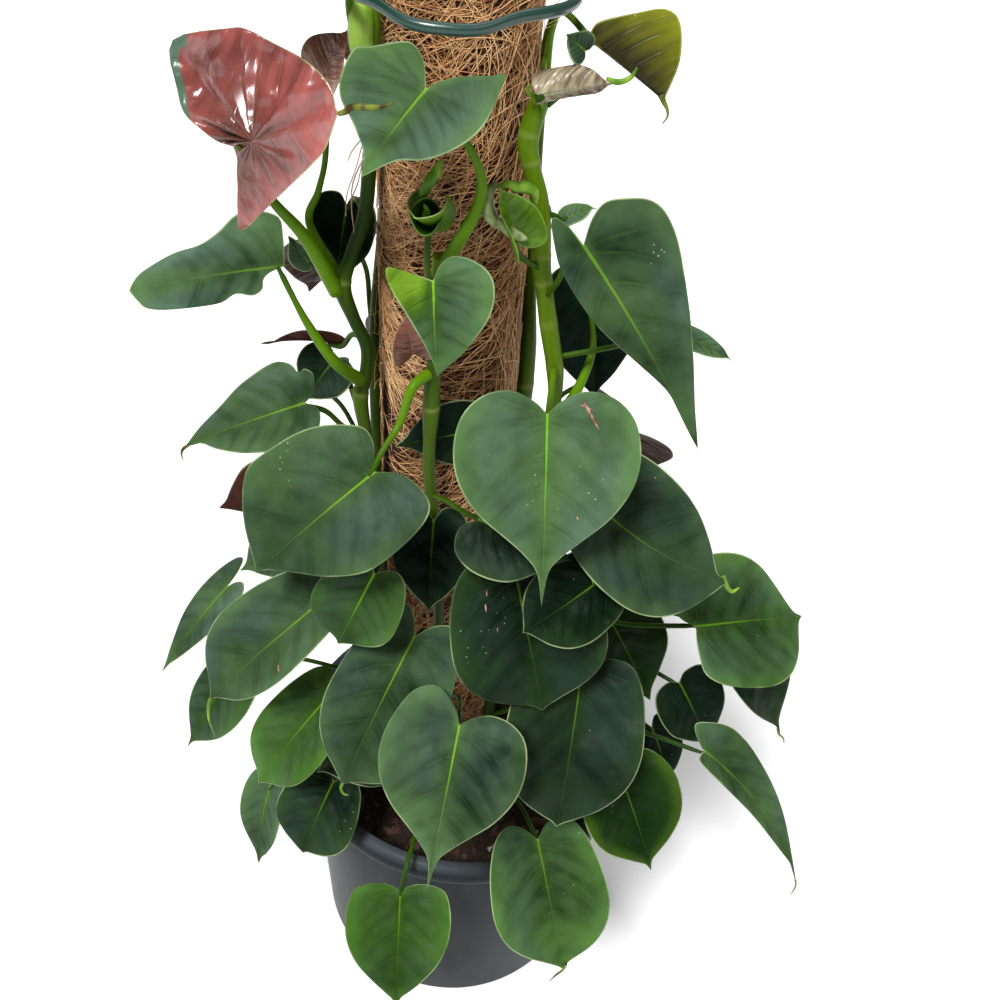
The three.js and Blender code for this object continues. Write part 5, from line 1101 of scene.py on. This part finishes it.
# A row is the finish, the node it belongs to, and the points of its middle line with a radius each.
STRANDS = {
    "red_leaf_tip": ("dry", "leaf_red_young", [(-71, -90, 661, 1), (-68, -93, 663, 1.3),
        (-66, -94, 665, 1.3), (-61, -95, 666, 1.4), (-55, -95, 666.5, 1), (-49, -94, 668.5, 0.3)]),
    "olive_leaf_tail": ("dry", "leaf_olive_top", [(58, -34, 665, 1.4), (60, -34, 662, 1.1),
        (62, -34, 659, 0.7), (62.5, -34, 656, 0.5), (61, -34, 653, 0.3)]),
    "silver_leaf_curl": ("lime", "leaf_rolled_top", [(33, -46, 672.5, 0.8), (37, -46, 671.5, 1.3),
        (40, -46, 672, 1.2), (43, -46, 674, 1.1), (45, -46, 678, 0.4)]),
    "right_tendril": ("lime", "vine_right", [(8, -33, 651, 1.6), (8, -36, 656, 1.5), (5.5, -38, 659.5, 1),
        (2, -39, 661, 0.9), (0.5, -39, 663, 0.8), (2, -39, 665, 0.4)]),
    "bud_roll": ("lime", "leaf_bud_centre", [(-42, -60, 619, 0.9), (-40, -60, 622, 2),
        (-37.5, -60, 627, 2.7), (-35, -59, 631, 2.3), (-33, -58, 636, 0.8)]),
    "bud_heart": ("lime", "leaf_bud_centre", [(-39, -58, 608, 1), (-38.5, -62, 612, 2),
        (-38, -66, 616, 1.3), (-39, -67.5, 619, 0.5)]),
    "rolled_edge": ("silvery", "leaf_curled_green", [(-9, -54, 627, 1), (-12, -55, 622, 2.6),
        (-12, -55, 616, 3.2), (-9.5, -55.5, 611, 3), (-5, -56, 608, 2.2), (0, -55, 605, 2.6),
        (4, -54, 603, 2), (7, -53, 602, 0.8)]),
    "rolled_edge_tip": ("lime", "leaf_curled_green", [(-8, -52, 624, 1), (-4, -52, 626, 1.8),
        (0, -51, 624.5, 2.6), (4, -50, 624.5, 2.8), (8, -49, 622, 2.2), (9, -48, 616, 1)]),
    "top_sheath": ("sheath", "vine_left", [(-70, -28, 660, 3), (-71.5, -29, 666, 4.6),
        (-72.5, -29, 673, 5.6), (-72.5, -29, 681, 5.6), (-72, -28.5, 687, 4.4), (-71, -28, 689, 2)]),
    "back_tip": ("lime", "vine_back", [(-31, 47, 620, 3.2), (-31, 48, 632, 2.8), (-31.5, 49.5, 644, 1.8),
        (-33, 51, 656, 0.4)]),
    "back_left_tip": ("lime", "vine_back_left", [(-66, 34, 655, 3), (-66, 35, 664, 2.6),
        (-67, 37, 673, 1.6), (-68.5, 39, 682, 0.4)]),
    "right_tall_tip": ("lime", "leaf_right_tall", [(130, -81.5, 436.5, 1), (132.5, -82.5, 431, 1.3),
        (136.3, -83, 427.5, 1.1), (140, -82, 430, 0.4)]),
    "right_b_tip": ("dry", "leaf_right_b", [(215, -25.5, 254, 0.9), (217, -26, 249, 0.8),
        (220.5, -26.5, 246, 0.6), (223, -26, 240, 0.25)]),
    "over_rim_right_tip": ("dry", "leaf_over_rim_right", [(78, -164, 173, 1), (76.5, -165.5, 168, 0.8),
        (73, -166, 162, 0.6), (70, -165, 151, 0.25)]),
    "right_hanging_tip": ("dry", "leaf_right_hanging", [(234, -95, 182, 0.8), (235.2, -96, 177, 0.6),
        (235, -96.5, 172, 0.45), (234.4, -96.5, 166, 0.2)]),
    "left_low_tip": ("dry", "leaf_left_low", [(-156, -69.5, 479, 0.9), (-158.5, -70.5, 477, 0.8),
        (-159.5, -71, 474, 0.5), (-159, -71, 470, 0.2)]),
    "left_b_tip": ("lime", "leaf_left_b", [(-146, -106.5, 332, 1), (-149, -108.5, 324, 1),
        (-150, -109.5, 312, 0.8), (-149, -109, 302, 0.6), (-148.5, -108, 295, 0.25)]),
    "front_left_tip": ("lime", "leaf_front_left", [(-67.5, -124.5, 287, 1), (-69.5, -126.5, 281, 0.9),
        (-68, -127.5, 277, 0.7), (-65, -127, 275, 0.3)]),
    "root_1": ("root", "vine_left", [(-67, -32, 636, 0.4), (-70, -39, 633, 0.4), (-73, -41, 622, 0.3),
        (-77, -42, 610, 0.3), (-78, -41, 599, 0.2)]),
    "root_2": ("root", "vine_left", [(-67, -32, 635, 0.5), (-71, -38, 634, 0.4), (-75, -40, 629, 0.4),
        (-77, -40, 624, 0.2)]),
    "root_3": ("root", "vine_left", [(-67, -31, 633, 0.4), (-70, -38, 626, 0.3), (-72, -41, 616, 0.3),
        (-75, -42, 606, 0.3), (-74, -41, 591, 0.2)]),
    "root_4": ("root", "vine_left", [(-66, -32, 631, 0.5), (-70, -41, 626, 0.4), (-74, -43, 616, 0.4),
        (-75, -43, 607, 0.2)]),
}
# Scars and a small rolled leaf that lie on a blade: the finish, the leaf, the radius, and both ends as a
# share of the blade's length and of its half width.
SCRAPS = {
    "scar_1": ("scar", "leaf_big_centre", 0.8, (-0.09, 0.37), (0.05, 0.55)),
    "scar_2": ("scar", "leaf_big_centre", 0.5, (-0.07, 0.34), (-0.04, 0.48)),
    "scar_3": ("scar", "leaf_big_centre", 0.5, (0.47, 0.34), (0.49, 0.36)),
    "scar_4": ("scar", "leaf_centre_dark", 0.45, (0.03, -0.40), (0.07, -0.41)),
    "scar_5": ("scar", "leaf_centre_dark", 0.5, (0.12, -0.45), (0.17, -0.46)),
    "scar_6": ("scar", "leaf_centre_dark", 0.4, (0.29, -0.36), (0.32, -0.37)),
    "scar_7": ("scar", "leaf_left_b", 0.6, (0.41, 0.40), (0.43, 0.50)),
    "rolled_leaflet": ("lime", "leaf_centre_small", 1.1, (0.0, -0.60), (0.13, -0.02)),
}


def plain_finish(name, dark, light, scale, roughness, bump):
    material, place = finish(name, Specular_IOR_Level=0.2)
    patch = place.stretched(1, 1, 0.6).noise(scale, 3)
    feed(material, Base_Color=patch.above(0.35, 0.65).mix(dark, light), Roughness=roughness + 0.1 * patch)
    feed(material, bump=patch * bump)
    return material


STRAND_FINISHES = {
    "dry": plain_finish("drying leaf tip", (0.045, 0.025, 0.006), (0.16, 0.20, 0.02), 160, 0.4, 0.0003),
    "lime": plain_finish("lime young growth", (0.05, 0.15, 0.006), (0.20, 0.36, 0.03), 120, 0.35, 0.0004),
    "sheath": plain_finish("young stem sheath", (0.10, 0.26, 0.008), (0.30, 0.46, 0.07), 70, 0.3, 0.0004),
    "silvery": plain_finish("silvery rolled edge", (0.09, 0.12, 0.025), (0.36, 0.46, 0.20), 150, 0.3, 0.0006),
    "root": plain_finish("aerial root", (0.30, 0.16, 0.10), (0.66, 0.50, 0.36), 90, 0.6, 0.0001),
    "scar": plain_finish("dry scar", (0.16, 0.07, 0.05), (0.46, 0.27, 0.20), 300, 0.7, 0.0002),
}


def strand_piece(name, look, node, path, radii):
    points, faces = tube_mesh(path, np.maximum(radii, STRAND_LEAST), STRAND_SIDES)
    slot = "stem_green" if node.startswith("vine") else "young_leaf"
    finish_piece(new_piece(name, points, faces, STRAND_FINISHES[look]), name, slot, node)


for name, (look, node, rows) in STRANDS.items():
    line = through(rows, STRAND_STEP)
    strand_piece(name, look, node, line[:, :3], line[:, 3])
for name, (look, node, radius, start, end) in SCRAPS.items():
    leaf = LEAVES[node]
    shape = leaf_frame(leaf)
    bulges = radius * np.array((0.2, 0.7, 1, 0.8, 1, 0.6, 0.2))
    u, v = np.linspace(start, end, len(bulges)).T
    x, y = u * shape[-1], v * leaf["width"] / 2
    lift = quilt(leaf, shape[-1], x, y, np.full(len(bulges), 0.5)) + BLADE_HALF + 0.3 * radius
    strand_piece(name, look, node, blade_middle(leaf, shape, x, y, lift), bulges)

# Trumpet
# A small young blade at the middle that is still rolled into a cup. It opens towards the front, and its wavy
# mouth is drop-shaped.
TRUMPET_MOUTH, TRUMPET_FOOT = Vector((-38, -67, 614)), Vector((-38.5, -54, 607))
TRUMPET_RADIUS, TRUMPET_FOOT_RADIUS, TRUMPET_WALL = 7.4, 1.2, 0.6
axis = TRUMPET_MOUTH - TRUMPET_FOOT
bpy.ops.object.select_all(action="DESELECT")
bpy.ops.mesh.primitive_cone_add(
    vertices=40, radius1=TRUMPET_FOOT_RADIUS * MM, radius2=TRUMPET_RADIUS * MM, depth=axis.length * MM,
    end_fill_type="NOTHING")
trumpet = bpy.context.object
bpy.ops.object.mode_set(mode="EDIT")
bpy.ops.mesh.select_all(action="SELECT")
bpy.ops.mesh.subdivide(number_cuts=3)
bpy.ops.object.mode_set(mode="OBJECT")
turned = axis.to_track_quat("Z", "Y").to_matrix()
for vertex in trumpet.data.vertices:
    spot = vertex.co
    height = spot.z / MM / axis.length + 0.5
    swell = 1 + 0.35 * math.sin(math.pi * height) + 0.08 * math.sin(3 * math.atan2(spot.y, spot.x)) * height
    narrow = 1 - 0.5 * max(0, spot.y / MM / TRUMPET_RADIUS)
    spot = Vector((spot.x * swell * narrow, spot.y * swell * 1.12, spot.z))
    vertex.co = turned @ spot + (TRUMPET_MOUTH + TRUMPET_FOOT) / 2 * MM
wall = trumpet.modifiers.new("wall", "SOLIDIFY")
wall.thickness = TRUMPET_WALL * MM
apply_modifier(trumpet, wall)
smooth_by_angle(trumpet, 60)
trumpet.data.materials.append(
    plain_finish("trumpet leaf", (0.02, 0.07, 0.008), (0.07, 0.16, 0.02), 70, 0.3, 0.0006))
finish_piece(trumpet, "bud_trumpet", "young_leaf", "leaf_bud_centre")
